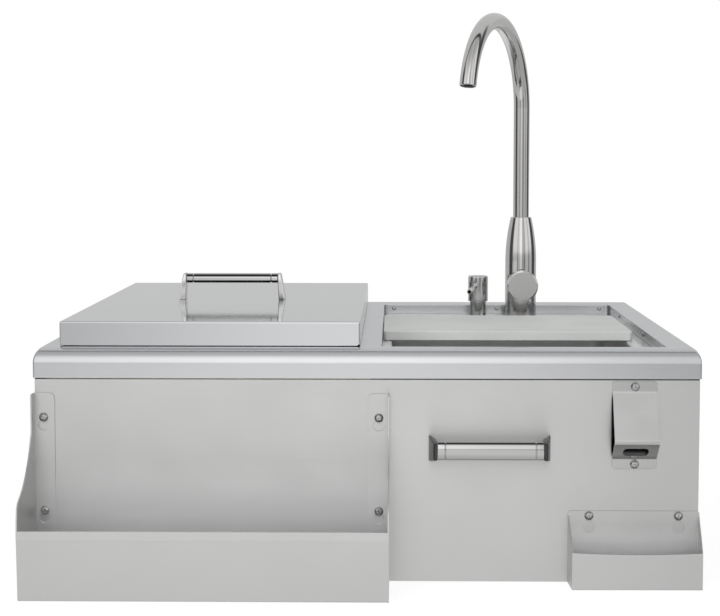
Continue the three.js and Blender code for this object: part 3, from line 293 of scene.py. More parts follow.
world = bpy.data.worlds.new("studio")
bpy.context.scene.world = world
s = wiring_of(world)
walls = s.node("Background", {"Strength": studio_walls(s)})
white = s.node("Background", {"Strength": 1.0, "Color": rgba(1)})
s.node("OutputWorld", (s.node("MixShader", (s.ray("Camera", "Transmission"), walls, white)),))
print("world:", world.name)

# %% [markdown]
# ## Floor and lamps
#
# The floor is a pale disc that goes white for the camera. A part of its light still comes from the lamps, so
# the unit keeps a soft shadow. In reflections its glow carries painted shade: darker close to the unit and
# out to the sides. Two large, weak lamps give the plastic board and the hollows their shape, and metal
# doesn't mirror them.

# %% Floor and lamps
FLOOR_RADIUS = 2.2
FLOOR_GAP = 0.0006
FLOOR_GREY = 0.86
FLOOR_KEEPS_SHADOW = 0.22
FLOOR_WHITE = 1.12
# The floor's glow in reflections, with painted shade: darker near the unit and out to the sides.
FLOOR_NEAR = 0.80
FLOOR_FAR = 1.04
SIDE_FALL = 0.34
FLOOR_RIGHT_FALL = 0.18


def as_object(name, bm):
    """A bmesh made into an object and freed."""
    mesh = bpy.data.meshes.new(name)
    bm.to_mesh(mesh)
    bm.free()
    return added(name, mesh)


def floor_glow_with_painted_shade(s):
    """The floor's glow in reflections, with painted shade: darker close to the unit and out to the sides, in
    metres from its middle.
    """
    x, y, _ = s.axes()
    far = ((x * x + y * y) ** 0.5).step_up(0.45, 0.85)
    fall = SIDE_FALL * x.absolute().step_up(0.15, 0.80) + FLOOR_RIGHT_FALL * x.step_up(0.15, 0.65)
    return (FLOOR_NEAR + far * (FLOOR_FAR - FLOOR_NEAR)) * (1 - fall)


def make_floor():
    bm = bmesh.new()
    bmesh.ops.create_circle(bm, cap_ends=True, segments=96, radius=FLOOR_RADIUS)
    bmesh.ops.translate(bm, verts=bm.verts, vec=(0, 0, -FLOOR_GAP))
    floor = as_object("floor", bm)
    material = bpy.data.materials.new("pale floor")
    s = wiring_of(material)
    lit = s.node("BsdfDiffuse", {"Color": rgba(FLOOR_GREY)})
    glossy = s.ray("Glossy")
    strength = FLOOR_WHITE * (1 - glossy) + glossy * floor_glow_with_painted_shade(s)
    white = s.node("Emission", {"Color": rgba(1), "Strength": strength})
    share = s.ray("Glossy", "Camera", "Transmission") * (1 - FLOOR_KEEPS_SHADOW)
    s.node("OutputMaterial", (s.node("MixShader", (share, lit, white)),))
    floor.data.materials.append(material)


def lamp(name, at, aim, size, power):
    light = bpy.data.lights.new(name, "AREA")
    light.shape = "RECTANGLE"
    light.size, light.size_y = size
    light.energy = power
    obj = added(name, light)
    obj.location = at
    obj.rotation_euler = (Vector(aim) - Vector(at)).to_track_quat("-Z", "Y").to_euler()
    obj.visible_glossy = False


make_floor()
lamp("overhead", (0.2, -0.4, 2.4), (0, 0, 0.2), (1.8, 1.2), 6)
lamp("front_left", (-0.9, -2.6, 0.8), (0, 0, 0.25), (1.6, 0.8), 34)
print("lamps:", len(bpy.data.lights))

# %% [markdown]
# ## Steel
#
# Three things make sheet steel look real: a brushed grain that runs one way, a very slight waviness that
# bends long reflections, and faint clouds where hands and cloths have been. Each finish is the same recipe
# with other amounts. A finish can also take a function that paints light and shade into its colour by place:
# painted light on the panel behind the rail's trough and low on the hung plates, and painted shade under the
# opener's hood.

# %% The steel recipe
COARSE = 7.0
GRAIN_ACROSS = 2600.0
GRAIN_ALONG = 14.0
GRAIN_DEPTH = 0.000004
SWING = 8
STEEL_TINT = (1.0, 1.0, 0.992)
COOL = (0.978, 0.995, 1.018)
WARM = (1.0, 0.99, 0.98)
# Painted light on the panel behind the rail and low on the hung plates, and painted shade under the opener's
# hood: their colours and reaches.
PAINTED_LIGHT_TONE = 0.92
TROUGH_REACH = (0.055, 0.150)
PAINTED_HOOD_SHADE = 0.01
PLATE_REACH = (("speed_rail", 0.30, 0.70), ("cap_catcher", 0.45, 0.85))


def steel(name, tone, roughness, along="x", grain=0.05, clouds=0.03, wave=0.00035, turned=0.0,
          tint=STEEL_TINT, local=None):
    """A finish. along is the way of the grain, and turned is how much the grain stretches a highlight."""
    streaks = tuple(GRAIN_ALONG if axis == along else GRAIN_ACROSS for axis in "xyz")

    def colour(s):
        streak, cloud = s.noise(streaks, 3.0), s.noise(COARSE, 3.0)
        share = 0.5 + (streak - 0.5) * (grain * SWING) + (cloud - 0.5) * (clouds * SWING)
        sheet = s.blend(share, rgba(tone * (1 - grain), tint), rgba(tone * (1 + grain), tint))
        # Here a function may paint light and shade into the colour by place.
        return local(s, sheet) if local else sheet

    def rough(s):
        streak, cloud = s.noise(streaks), s.noise(COARSE * 2, 4.0)
        return roughness + (streak - 0.5) * (roughness * 0.5) + (cloud - 0.5) * (roughness * 0.35)

    def normal(s):
        return s.bump(s.noise(streaks), GRAIN_DEPTH, s.bump(s.noise(COARSE, 1.0), wave))

    return surface(name, Base_Color=colour, Metallic=1.0, Roughness=rough, Normal=normal,
                   Anisotropic=turned, Anisotropic_Rotation=0.25)


def panel_painted_light_and_shade(s, sheet):
    """Painted light: paler behind the rail's trough. Painted shade: black where the opener's hood shuts the
    panel off.
    """
    x, _, z = s.axes()
    low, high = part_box("speed_rail")
    start, end = (low.z + reach for reach in TROUGH_REACH)
    trough = x.band(low.x, low.x + 0.02, high.x - 0.01, high.x) * (1 - z.step_up(start, end))
    sheet = s.blend(trough, sheet, rgba(PAINTED_LIGHT_TONE))
    low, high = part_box("bottle_opener")
    hood = (x.band(low.x - 0.002, low.x, high.x - 0.001, high.x)
            * z.band(low.z + 0.010, low.z + 0.020, high.z - 0.022, high.z - 0.012))
    return s.blend(hood, sheet, rgba(PAINTED_HOOD_SHADE))


def hung_painted_light(s, sheet):
    """Painted light: paler low down on the plates against the panel, up to a share of their height."""
    x, y, z = s.axes()
    for node, bright, plain in PLATE_REACH:
        low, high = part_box(node)
        tall = high.z - low.z
        plate = x.band(low.x, low.x + 0.004, high.x, high.x + 0.004)
        lit = (plate * y.step_up(high.y - 0.006, high.y - 0.003)
               * (1 - z.step_up(low.z + bright * tall, low.z + plain * tall)))
        sheet = s.blend(lit, sheet, rgba(PAINTED_LIGHT_TONE))
    return sheet


deck_steel = steel("deck steel", 0.64, 0.22, wave=0.0002, tint=COOL)
lid_steel = steel("lid steel", 0.635, 0.07, wave=0.00012, tint=COOL)
# The panel steel carries painted light behind the rail and painted shade under the opener's hood.
panel_steel = steel("panel steel", 0.63, 0.40, turned=0.7, local=panel_painted_light_and_shade)
side_steel = steel("side panel steel", 0.62, 0.25, along="y")
inner_steel = steel("inner steel", 0.60, 0.24)
# A paler copy of the inner steel: painted light for the dim hollow under the board.
bowl_painted_light_steel = steel("bowl steel with painted light", 0.76, 0.42)
# The hung steel carries painted light low on the plates where they face the panel.
hung_steel = steel("hung steel", 0.64, 0.42, turned=0.7, local=hung_painted_light)
print("the three largest finishes:", deck_steel.name, panel_steel.name, hung_steel.name)

# %% [markdown]
# ## Making sheet metal and turned parts
#
# Sheet is built as one open surface with its real radii, and a Solidify modifier gives it the thickness of
# the metal. Turned parts are a profile spun round an axis. Both end as a plain mesh with sharp edges marked
# and normals weighted by area, so that flat faces stay flat right up to a rounded edge.

# %% From points to a finished piece
SHARP = math.radians(32)
BEVELLED = math.radians(40)
FLAT = math.radians(0.5)
DOUBLE = 0.002
ON_AXIS = 1e-6
NEAR = 0.1
AXES = {"z": Matrix(), "-y": Matrix.Rotation(math.pi / 2, 4, "X")}
FOLD = 1.6


def modify(obj, kind, **settings):
    made = obj.modifiers.new(kind.lower(), kind)
    for key, value in settings.items():
        setattr(made, key, value)
    return obj


def settle(obj):
    """Turns the live modifiers into plain mesh."""
    graph = bpy.context.evaluated_depsgraph_get()
    settled = bpy.data.meshes.new_from_object(obj.evaluated_get(graph))
    obj.modifiers.clear()
    obj.data = settled
    return obj


def as_bmesh(obj):
    bm = bmesh.new()
    bm.from_mesh(obj.data)
    return bm


def cleaned(bm, way=None):
    """Merges doubles and turns the faces outwards, or most of an open sheet towards the given way."""
    bmesh.ops.remove_doubles(bm, verts=bm.verts, dist=DOUBLE * MM)
    bmesh.ops.recalc_face_normals(bm, faces=bm.faces)
    if way and sum(f.normal.dot(Vector(way)) * f.calc_area() for f in bm.faces) < 0:
        bmesh.ops.reverse_faces(bm, faces=bm.faces)
    return bm


def thicken(obj, sheet):
    return settle(modify(obj, "SOLIDIFY", thickness=sheet * MM, offset=-1, use_even_offset=True))


def combined(operation, *shapes):
    """Closed shapes melted into one, or the others cut out of the first."""
    held = [as_object("shape", cleaned(shape)) for shape in shapes]
    for other in held[1:]:
        modify(held[0], "BOOLEAN", object=other, operation=operation, solver="EXACT")
    bpy.context.view_layer.update()
    result = as_bmesh(settle(held[0]))
    for obj in held:
        bpy.data.objects.remove(obj)
    return result


def piece(name, bm, material, body="cabinet", stands_for=(), sheet=0.0, edge=0.0, way=None):
    """Closes a bmesh into a named piece that rides on a body and stands for its CAD parts."""
    obj = as_object(name, cleaned(bm, way))
    if sheet:
        thicken(obj, sheet)
    if edge:
        settle(modify(obj, "BEVEL", width=edge * MM, segments=2, limit_method="ANGLE", angle_limit=BEVELLED))
    obj.data.shade_smooth()
    obj.data.set_sharp_from_angle(angle=SHARP)
    settle(modify(obj, "WEIGHTED_NORMAL", keep_sharp=True, weight=80))
    obj.data.materials.clear()
    obj.data.materials.append(material)
    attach(obj, body)
    for node in [stands_for] if isinstance(stands_for, str) else stands_for:
        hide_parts(node)
    return obj


def eased_copy(node, material, body="cabinet", edge=0.35, fold=None):
    """A CAD part with its edges eased. fold picks its lower front edge for a wide bend, by y and length."""
    bm = as_bmesh(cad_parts[node])
    bmesh.ops.remove_doubles(bm, verts=bm.verts, dist=DOUBLE * MM)
    bmesh.ops.dissolve_limit(bm, angle_limit=FLAT, verts=bm.verts, edges=bm.edges)
    if fold:
        foot, (beyond, length) = extent(node)[0].z, fold
        ends = [(e, *(in_mm(v.co) for v in e.verts)) for e in bm.edges]
        bends = [e for e, a, b in ends
                 if max(a.z, b.z) < foot + NEAR and max(a.y, b.y) < beyond and abs(a.x - b.x) > length]
        bmesh.ops.bevel(bm, geom=bends, offset=FOLD * MM, segments=5, profile=0.5, affect="EDGES")
    return piece(node + ("_folded" if fold else "_eased"), bm, material, body, node, edge=edge)


def paint(material, *nodes):
    """Gives CAD parts that keep their own shape a finish."""
    for node in nodes:
        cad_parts[node].data.materials.clear()
        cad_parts[node].data.materials.append(material)


def ring_of(bm, points):
    return [bm.verts.new(place(*p)) for p in points]


def level_ring(bm, outline, z):
    return ring_of(bm, [(x, y, z) for x, y in outline])


def skin(bm, rings, closed=True):
    """Faces between rings of vertices that follow one another."""
    for low, high in zip(rings, rings[1:]):
        count = len(low)
        for i in range(count if closed else count - 1):
            j = (i + 1) % count
            bm.faces.new((low[i], low[j], high[j], high[i]))


def fill_between(bm, *loops):
    """A flat face inside the first loop and outside the others."""
    edges = []
    for loop in loops:
        for a, b in zip(loop, loop[1:] + loop[:1]):
            edges.append(bm.edges.get((a, b)) or bm.edges.new((a, b)))
    bmesh.ops.triangle_fill(bm, use_beauty=True, use_dissolve=False, edges=edges)


def closed_skin(bm, rings):
    """A skin with a flat cap on its first and last ring."""
    skin(bm, rings)
    for ring in (rings[0], rings[-1]):
        fill_between(bm, ring)
    return bm


def arc(cx, cy, radius, start, end, steps):
    """Points on an arc, in degrees, both ends included."""
    turns = [math.radians(start + (end - start) * i / steps) for i in range(steps + 1)]
    return [(cx + radius * math.cos(t), cy + radius * math.sin(t)) for t in turns]


def circle(count):
    return [math.tau * i / count for i in range(count)]


def quarter(steps):
    """A quarter turn as pairs: along the arc the first falls from 1 to 0 and the second rises from 0 to 1."""
    turns = [math.pi / 2 * i / steps for i in range(steps + 1)]
    return [(1 - math.sin(t), 1 - math.cos(t)) for t in turns]


def grown(box, by):
    x0, x1, y0, y1 = box
    return x0 - by, x1 + by, y0 - by, y1 + by


def rounded(x0, x1, y0, y1, radius, steps=10):
    """The outline of a rectangle with round corners, anticlockwise."""
    r = radius
    return (arc(x0 + r, y0 + r, r, 180, 270, steps) + arc(x1 - r, y0 + r, r, 270, 360, steps)
            + arc(x1 - r, y1 - r, r, 0, 90, steps) + arc(x0 + r, y1 - r, r, 90, 180, steps))


def spun(profile, centre, axis="z", sides=64, bm=None):
    """A profile of (radius, height) turned about an axis. One that starts off the axis closes into a ring."""
    bm = bmesh.new() if bm is None else bm
    turn = AXES[axis] if isinstance(axis, str) else axis
    rings = []
    for radius, height in profile if profile[0][0] < ON_AXIS else profile + profile[:1]:
        points = [Vector((radius * math.cos(a), radius * math.sin(a), height)) for a in circle(sides)]
        points = points if radius > ON_AXIS else [Vector((0, 0, height))]
        rings.append([bm.verts.new(turn @ p * MM + place(*centre)) for p in points])
    for low, high in zip(rings, rings[1:]):
        for i in range(sides):
            j = (i + 1) % sides
            corners = [low[i % len(low)], low[j % len(low)], high[j % len(high)], high[i % len(high)]]
            unique = list(dict.fromkeys(corners))
            if len(unique) > 2:
                bm.faces.new(unique)
    return bm


def rod(radius, back, front, chamfer=0.0):
    """The profile of a round bar, with its front edge broken."""
    edge = [(radius, front - chamfer), (radius - chamfer, front)] if chamfer else [(radius, front)]
    return [(0, back), (radius, back), *edge, (0, front)]


def eased(profile, *corners, radius=0.6, steps=4):
    """Rounds the listed corners of a profile."""
    points = []
    for i, (r, z) in enumerate(profile):
        if i not in corners:
            points.append((r, z))
            continue
        here, before, after = Vector((r, z)), Vector(profile[i - 1]), Vector(profile[(i + 1) % len(profile)])
        start = here + (before - here).normalized() * min(radius, (before - here).length / 2)
        end = here + (after - here).normalized() * min(radius, (after - here).length / 2)
        for k in range(steps + 1):
            share = k / steps
            points.append(tuple(start.lerp(here, share).lerp(here.lerp(end, share), share)))
    return points


print("shapes can be folded, spun, melted together and cut")

# %% [markdown]
# ## The deck
#
# The deck is one sheet, rolled over at the front and, in a tighter curve, at both sides. A box with a bevel
# can't have two different rolls, so the edge is a stack of outlines, each drawn in further at the front than
# at the sides. At both openings the sheet folds down with a tight radius that catches a thin line of light.

# %% Deck
ROLL_RADIUS = 18.5
SIDE_ROLL = 12.0
RIM_CORNER = 2.5
ROLL_STEPS = 18
CORNER_STEPS = 6
DECK_SHEET = 1.5
FOLD_RADIUS = 1.2
FOLD_STEPS = 4
BIN_OPENING = (-340.0, -20.0, 30.0, 641.0)
BIN_CORNER = 12.0
BIN_FOLD = 15.0
RECESS = (17.3, 343.6, 19.9, 614.5)
RECESS_CORNER = 5.0
RECESS_FOLD = 13.2


def rim_outline(share):
    """The rim from above. share goes from 0 at the upright faces to 1 at the flat of the deck."""
    x0, x1, front = rim_left + SIDE_ROLL * share, rim_right - SIDE_ROLL * share, ROLL_RADIUS * share
    r = RIM_CORNER
    return ([(x0, rim_back)] + arc(x0 + r, front + r, r, 180, 270, CORNER_STEPS)
            + arc(x1 - r, front + r, r, 270, 360, CORNER_STEPS) + [(x1, rim_back)])


def folded_opening(bm, box, corner, depth):
    """The sheet's edge folded down round an opening. The first ring lies in the flat of the deck."""
    rings = []
    for inward, down in quarter(FOLD_STEPS):
        out = FOLD_RADIUS * inward
        rings.append(level_ring(bm, rounded(*grown(box, out), corner + out), -FOLD_RADIUS * down))
    rings.append(level_ring(bm, rounded(*box, corner), -depth))
    skin(bm, rings)
    return rings[0]


def make_deck():
    bm = bmesh.new()
    rings = [level_ring(bm, rim_outline(inward), -ROLL_RADIUS * down) for inward, down in quarter(ROLL_STEPS)]
    rings.append(level_ring(bm, rim_outline(0), -rim_drop))
    skin(bm, rings)
    fill_between(bm, rings[0], folded_opening(bm, BIN_OPENING, BIN_CORNER, BIN_FOLD),
                 folded_opening(bm, RECESS, RECESS_CORNER, RECESS_FOLD))
    return piece("deck", bm, deck_steel, stands_for="top_deck", sheet=DECK_SHEET, edge=0.25, way=(0, 0, 1))


deck = make_deck()
print("deck:", len(deck.data.polygons), "faces")

# %% [markdown]
# ## The cabinet
#
# The box under the deck is plain brushed sheet. Its top edge is bent inwards just below the rolled rim,
# which leaves the fine dark line between rim and panel. The rear and lower panels are eased copies.

# %% Cabinet panels
PANEL_SHEET = 1.2
PANEL_EDGE = 0.45
BEND_RADIUS = 1.8
BEND_DEPTH = 5.0
SEAM = 0.7
UNDER_RIM = -rim_drop - SEAM


def bent_strip(outward):
    """From the bottom edge up the face, and in over the bend. outward is the distance out of the face."""
    bend = arc(outward - BEND_RADIUS, UNDER_RIM - BEND_RADIUS, BEND_RADIUS, 0, 90, 6)
    return [(outward, cabinet_bottom)] + bend + [(outward - BEND_DEPTH, UNDER_RIM)]


def make_panel(name, node, rows, material, way):
    bm = bmesh.new()
    skin(bm, [ring_of(bm, row) for row in rows], closed=False)
    piece(name, bm, material, stands_for=node, sheet=PANEL_SHEET, edge=PANEL_EDGE,
          way=way)


low, high = extent("front_panel")
rows = [[(x, -out, z) for out, z in bent_strip(-low.y)] for x in (low.x, high.x)]
make_panel("front_sheet", "front_panel", rows, panel_steel, (0, -1, 0))
for node, side in (("left_panel", -1), ("right_panel", 1)):
    low, high = extent(node)
    strip = bent_strip(high.x if side > 0 else -low.x)
    rows = [[(side * out, y, z) for out, z in strip] for y in (low.y, high.y)]
    make_panel(node + "_sheet", node, rows, side_steel, (side, 0, 0))
eased_copy("back_panel", side_steel)
eased_copy("bottom_panel", inner_steel, edge=0.3)
print("cabinet bottom at", cabinet_bottom)

# %% [markdown]
# ## The lid of the ice bin
#
# The lid is a shallow pan turned upside down. At its corners the lower edges are cut away a little, so that
# the folds can meet. The outline has extra points beside each corner, because those are lifted.

# %% Lid
LID_EDGE = 2.0
LID_CORNER = 1.2
LID_TIGHTEST = 0.25
LID_SHEET = 1.0
LID_RELIEF = 3.0
RELIEF_STEPS = 5


def lid_outline(inset):
    """Points round the lid with the distance of each from its nearest corner."""
    low, high = extent("lid_skin")
    x0, x1, y0, y1 = low.x + inset, high.x - inset, low.y + inset, high.y - inset
    r = max(LID_CORNER - inset, LID_TIGHTEST)
    near = [LID_RELIEF * i / RELIEF_STEPS for i in range(1, RELIEF_STEPS + 1)]
    corners = [(x0 + r, y0 + r, 180), (x1 - r, y0 + r, 270), (x1 - r, y1 - r, 0), (x0 + r, y1 - r, 90)]
    points = []
    for cx, cy, start in corners:
        turn = arc(cx, cy, r, start, start + 90, 4)
        (x_in, y_in), (x_out, y_out) = turn[0], turn[-1]
        across, along = math.cos(math.radians(start)), math.sin(math.radians(start))
        points += [(x_in + along * d, y_in - across * d, d) for d in reversed(near)]
        points += [(x, y, 0.0) for x, y in turn]
        points += [(x_out - across * d, y_out - along * d, d) for d in near]
    return points


def relief(distance):
    """How far the lower edge is lifted at that distance from a corner."""
    short = max(LID_RELIEF - distance, 0.0)
    return LID_RELIEF - math.sqrt(max(LID_RELIEF ** 2 - short ** 2, 0.0))


def make_lid():
    low, high = extent("lid_skin")
    bm = bmesh.new()
    rings = [ring_of(bm, [(x, y, low.z + relief(d)) for x, y, d in lid_outline(0)])]
    for down, inward in quarter(6):
        outline = [(x, y) for x, y, _ in lid_outline(LID_EDGE * inward)]
        rings.append(level_ring(bm, outline, high.z - LID_EDGE * down))
    skin(bm, rings)
    fill_between(bm, rings[-1])
    return piece("lid_top", bm, lid_steel, "lid", "lid_skin", sheet=LID_SHEET, edge=0.2, way=(0, 0, 1))


lid_top = make_lid()
eased_copy("lid_inner_pan", inner_steel, "lid", edge=0.3)
print("lid:", len(lid_top.data.polygons), "faces")

# %% [markdown]
# ## Inside the bin and the sink
#
# The bin's liner and the pan round the sink keep the construction's shape with eased edges. The bowl is
# drawn in one go: flange, a small fold, straight walls and a floor that curves up into them.

# %% Liner, pan and bowl
BOWL_STEPS = 12
BOWL_FOLD = 2.5
BOWL_CORNER = 18.0
BOWL_FLOOR_RADIUS = 22.0
CORNER_TIGHTENS = 0.55
BOWL_SHEET = 1.2
BOWL_WALL = (29.0, 319.0, 31.6, 474.6)
FLANGE_CORNER = 5.0
DRAIN_HOLE = 43.0

eased_copy("ice_bin_liner", inner_steel, edge=0.3)
eased_copy("sink_pan", inner_steel, edge=0.3)
DRAIN_AT = tuple(middle_of("strainer_cup"))[:2]


def make_bowl():
    low, high = extent("sink_bowl")
    top, floor = high.z, low.z + BOWL_SHEET
    bm = bmesh.new()
    flange = level_ring(bm, rounded(low.x, high.x, low.y, high.y, FLANGE_CORNER, BOWL_STEPS), top)
    rings = []
    for inward, down in quarter(4):
        out = BOWL_FOLD * inward
        outline = rounded(*grown(BOWL_WALL, out), BOWL_CORNER + out, BOWL_STEPS)
        rings.append(level_ring(bm, outline, top - BOWL_FOLD * down))
    for above, inward in quarter(8):
        inset = BOWL_FLOOR_RADIUS * inward
        outline = rounded(*grown(BOWL_WALL, -inset), BOWL_CORNER - inset * CORNER_TIGHTENS, BOWL_STEPS)
        rings.append(level_ring(bm, outline, floor + BOWL_FLOOR_RADIUS * above))
    skin(bm, rings)
    hole = level_ring(bm, arc(*DRAIN_AT, DRAIN_HOLE, 0, 360, 64)[:-1], floor)
    fill_between(bm, flange, rings[0])
    fill_between(bm, rings[-1], hole)
    return piece("bowl", bm, bowl_painted_light_steel, stands_for="sink_bowl", sheet=BOWL_SHEET, edge=0.2,
                 way=(0, 0, 1))


bowl = make_bowl()
print("bowl:", len(bowl.data.polygons), "faces, drain at", [round(v, 1) for v in DRAIN_AT])

# %% [markdown]
# ## Drain fittings
#
# The strainer cup, its basket and the bin's drain are profiles spun round an axis, written as (radius,
# height) in the order in which a lathe would follow them. The basket's holes are drilled with a Boolean.

# %% Drains
drain_steel = steel("drain steel", 0.62, 0.12)
CUP_BORE = 17.5
CUP_NECK = 24
CUP_RADIUS = 42
CUP_FLANGE = 55.0
FLANGE_DEPTH = 1.8
CUP_DEPTH = 11.5
BASKET_HOLES = 8
HOLES_AT = 22
HOLE_RADIUS = 4.5


def make_cup():
    low, high = extent("strainer_cup")
    bottom, top = low.z, high.z
    seat = top - FLANGE_DEPTH
    profile = [(CUP_BORE, bottom), (CUP_NECK, bottom), (CUP_NECK, bottom + 12), (36, bottom + 16),
               (CUP_RADIUS, seat - CUP_DEPTH), (CUP_RADIUS, seat), (CUP_FLANGE, seat), (CUP_FLANGE - 2, top),
               (43.5, top), (40, seat - 3), (40, seat - CUP_DEPTH), (34, bottom + 18),
               (CUP_BORE, bottom + 18)]
    piece("drain_cup", spun(eased(profile, 3, 7, 8, 9, 10, 11, radius=1.2), (*DRAIN_AT, 0)), drain_steel,
          stands_for="strainer_cup")


def make_basket():
    low, high = extent("strainer_basket")
    bottom, top = low.z, high.z - 4
    profile = [(0, bottom), (30, bottom), (37, top - 2), (39, top), (39, top + 1), (36, top + 0.5),
               (29, bottom + 1), (5, bottom + 1), (4, top - 2), (7, top), (7, top + 3), (0, top + 4)]
    drills = bmesh.new()
    for turn in circle(BASKET_HOLES):
        at = (DRAIN_AT[0] + HOLES_AT * math.cos(turn), DRAIN_AT[1] + HOLES_AT * math.sin(turn), 0)
        spun(rod(HOLE_RADIUS, bottom - 4, bottom + 4), at, sides=24, bm=drills)
    basket = spun(eased(profile, 1, 2, 5, 6, 9, 10, radius=1.0), (*DRAIN_AT, 0))
    piece("drain_basket", combined("DIFFERENCE", basket, drills), drain_steel, "basket", "strainer_basket",
          edge=0.15)


def make_bin_drain():
    low, high = extent("ice_bin_drain")
    centre = middle_of("ice_bin_drain")
    bottom, top = low.z, high.z
    profile = [(13, bottom), (17, bottom), (17, top - 1.5), (28, top - 1.5), (27, top), (16, top),
               (13, top - 3)]
    piece("bin_drain", spun(eased(profile, 4, 5, radius=0.8), (centre.x, centre.y, 0)), drain_steel,
          stands_for="ice_bin_drain")


make_cup()
make_basket()
make_bin_drain()
eased_copy("sink_tailpiece", drain_steel, edge=0.3)
print("drains at", [round(v, 1) for v in DRAIN_AT])

# %% [markdown]
# ## The cutting board
#
# A white plastic board with a fine pebbled skin and softly rounded edges. The pebbles come from two noises
# in the bump, and the colour wanders by a few hundredths so that the board doesn't look like paper.

# %% Board
BOARD_TONE = (0.622, 0.638, 0.622, 1.0)
BOARD_SHADE = (0.568, 0.585, 0.571, 1.0)
BOARD_EDGE = 1.2
BOARD_CORNER = 6

board_plastic = surface(
    "board plastic", Specular_IOR_Level=0.4,
    Base_Color=lambda s: s.blend(s.noise(9, 4.0).step_up(0.35, 0.65), BOARD_SHADE, BOARD_TONE),
    Roughness=lambda s: 0.42 + s.noise(60, 3.0) * 0.18,
    Normal=lambda s: s.bump(s.noise(700), 0.00012, s.bump(s.noise(2400, 1.0), 0.00003)))


def make_board():
    low, high = extent("cutting_board")
    box = (low.x, high.x, low.y, high.y)
    bm = bmesh.new()
    levels = [(BOARD_EDGE * inward, low.z + BOARD_EDGE * up) for inward, up in quarter(5)]
    levels += [(BOARD_EDGE * inward, high.z - BOARD_EDGE * down) for down, inward in quarter(5)]
    closed_skin(bm, [level_ring(bm, rounded(*grown(box, -inset), BOARD_CORNER - inset, 8), z)
                     for inset, z in levels])
    return piece("board", bm, board_plastic, "board", "cutting_board")


board = make_board()
print("board:", [round(v / MM, 1) for v in board.dimensions])

# %% [markdown]
# ## The tap
#
# The body is a lathe shape with a long arc for its shoulder, and the hub of the valve is melted into it. The
# knob has a satin face and a sloping, polished rim that catches the light as a crescent.

# %% Tap body and knob
tap_steel = steel("tap steel", 0.60, 0.11, along="z", grain=0.03, tint=WARM)
TAP_AT = (211.5, 560.0)
TAP_BODY = 21.9
TAP_SHOULDER = 66.0
TAP_MOUTH = 14.4
TAP_BORE = 11.5
MOUTH_EDGE = 1.1
SHOULDER_STEPS = 22
SOCKET_DEPTH = 32.3
KNOB_HEIGHT = 34.0
HUB_RADIUS = 19.5
HUB_BACK = 12
POCKET = (13.3, 14.8)
KNOB_RIM = 2.2
KNOB_SLOPE = 0.6
STEM_RADIUS = 4.3
STEM_DEPTH = 6.3


def shoulder_arc(z, top):
    """The body's radius at a height above the shoulder."""
    fall = TAP_BODY - TAP_MOUTH
    radius = ((top - TAP_SHOULDER) ** 2 + fall ** 2) / (2 * fall)
    return TAP_BODY - radius + math.sqrt(radius ** 2 - (z - TAP_SHOULDER) ** 2)


def make_tap_body():
    low, high = extent("tap_body")
    bottom, top = low.z, high.z
    outside = [(TAP_BODY - 0.8, bottom), (TAP_BODY, bottom + 0.8), (TAP_BODY, TAP_SHOULDER)]
    for i in range(1, SHOULDER_STEPS + 1):
        z = TAP_SHOULDER + (top - MOUTH_EDGE - TAP_SHOULDER) * i / SHOULDER_STEPS
        outside.append((shoulder_arc(z, top), z))
    edge = outside[-1][0]
    mouth = [(edge - MOUTH_EDGE * inward, top - MOUTH_EDGE * down) for down, inward in quarter(4)[1:]]
    inside = [(TAP_BORE + 0.4, top), (TAP_BORE, top - 0.4), (TAP_BORE, top - SOCKET_DEPTH),
              (8.5, top - SOCKET_DEPTH), (8.5, bottom + 14), (15.3, bottom + 14), (15.3, bottom)]
    body = spun(outside + mouth + inside, (*TAP_AT, 0), sides=96)
    centre, front = (*TAP_AT, KNOB_HEIGHT), TAP_AT[1] - low.y
    hub = spun(rod(HUB_RADIUS, HUB_BACK, front, 0.5), centre, "-y", 96)
    pocket = spun(rod(*POCKET, front + 5), centre, "-y")
    piece("tap_body_turned", combined("DIFFERENCE", combined("UNION", body, hub), pocket), tap_steel,
          stands_for="tap_body")


def knob_roughness(s):
    """Satin on the face and polished on the rim."""
    low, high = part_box("tap_knob")
    radius = (high.x - low.x) / 2
    x, _, z = s.axes()
    x, z = x - (low.x + high.x) / 2, z - (low.z + high.z) / 2
    face = 1 - ((x * x + z * z) ** 0.5).step_up(radius - (KNOB_RIM + 0.2) * MM, radius - KNOB_RIM * MM)
    return 0.12 + face * 0.28 + (s.noise(900) - 0.5) * 0.06


def make_knob():
    low, high = extent("tap_knob")
    back, front = TAP_AT[1] - high.y, TAP_AT[1] - low.y
    radius, centre = (high.x - low.x) / 2, (*TAP_AT, KNOB_HEIGHT)
    profile = [(0, back), (radius - 0.6, back), (radius, back + 0.6), (radius, front - KNOB_SLOPE - 0.4),
               (radius - 0.3, front - KNOB_SLOPE), (radius - KNOB_RIM, front), (0, front)]
    knob = spun(eased(profile, 2, 3, 4, 5, radius=0.25), centre, "-y", 96)
    socket = spun(rod(STEM_RADIUS, back - 3, back + STEM_DEPTH), centre, "-y", 32)
    piece("knob_turned", combined("DIFFERENCE", knob, socket), knob_steel, "knob", "tap_knob")


knob_steel = surface("knob steel", Base_Color=(0.56, 0.555, 0.545, 1), Metallic=1.0, Roughness=knob_roughness,
                     Normal=lambda s: s.bump(s.noise((1800, 60, 1800)), 0.000006))
make_tap_body()
make_knob()
print("tap at", TAP_AT)

# %% [markdown]
# The tube is swept along its centre line: a riser, then an arch that leans to the left. Its inside is drawn
# too, because the open end is seen from below. A station is how far along the line it lies and how far in.

# %% Spout
SPOUT_RADIUS = 11.2
SPOUT_WALL = 1.5
RISER_TOP = 282.0
ARCH_RADIUS = 116.0
ARCH_TURN = math.radians(167.4)
ARCH_HEADING = math.radians(21.6)
ARCH_STEPS = 64
SPOUT_SIDES = 64


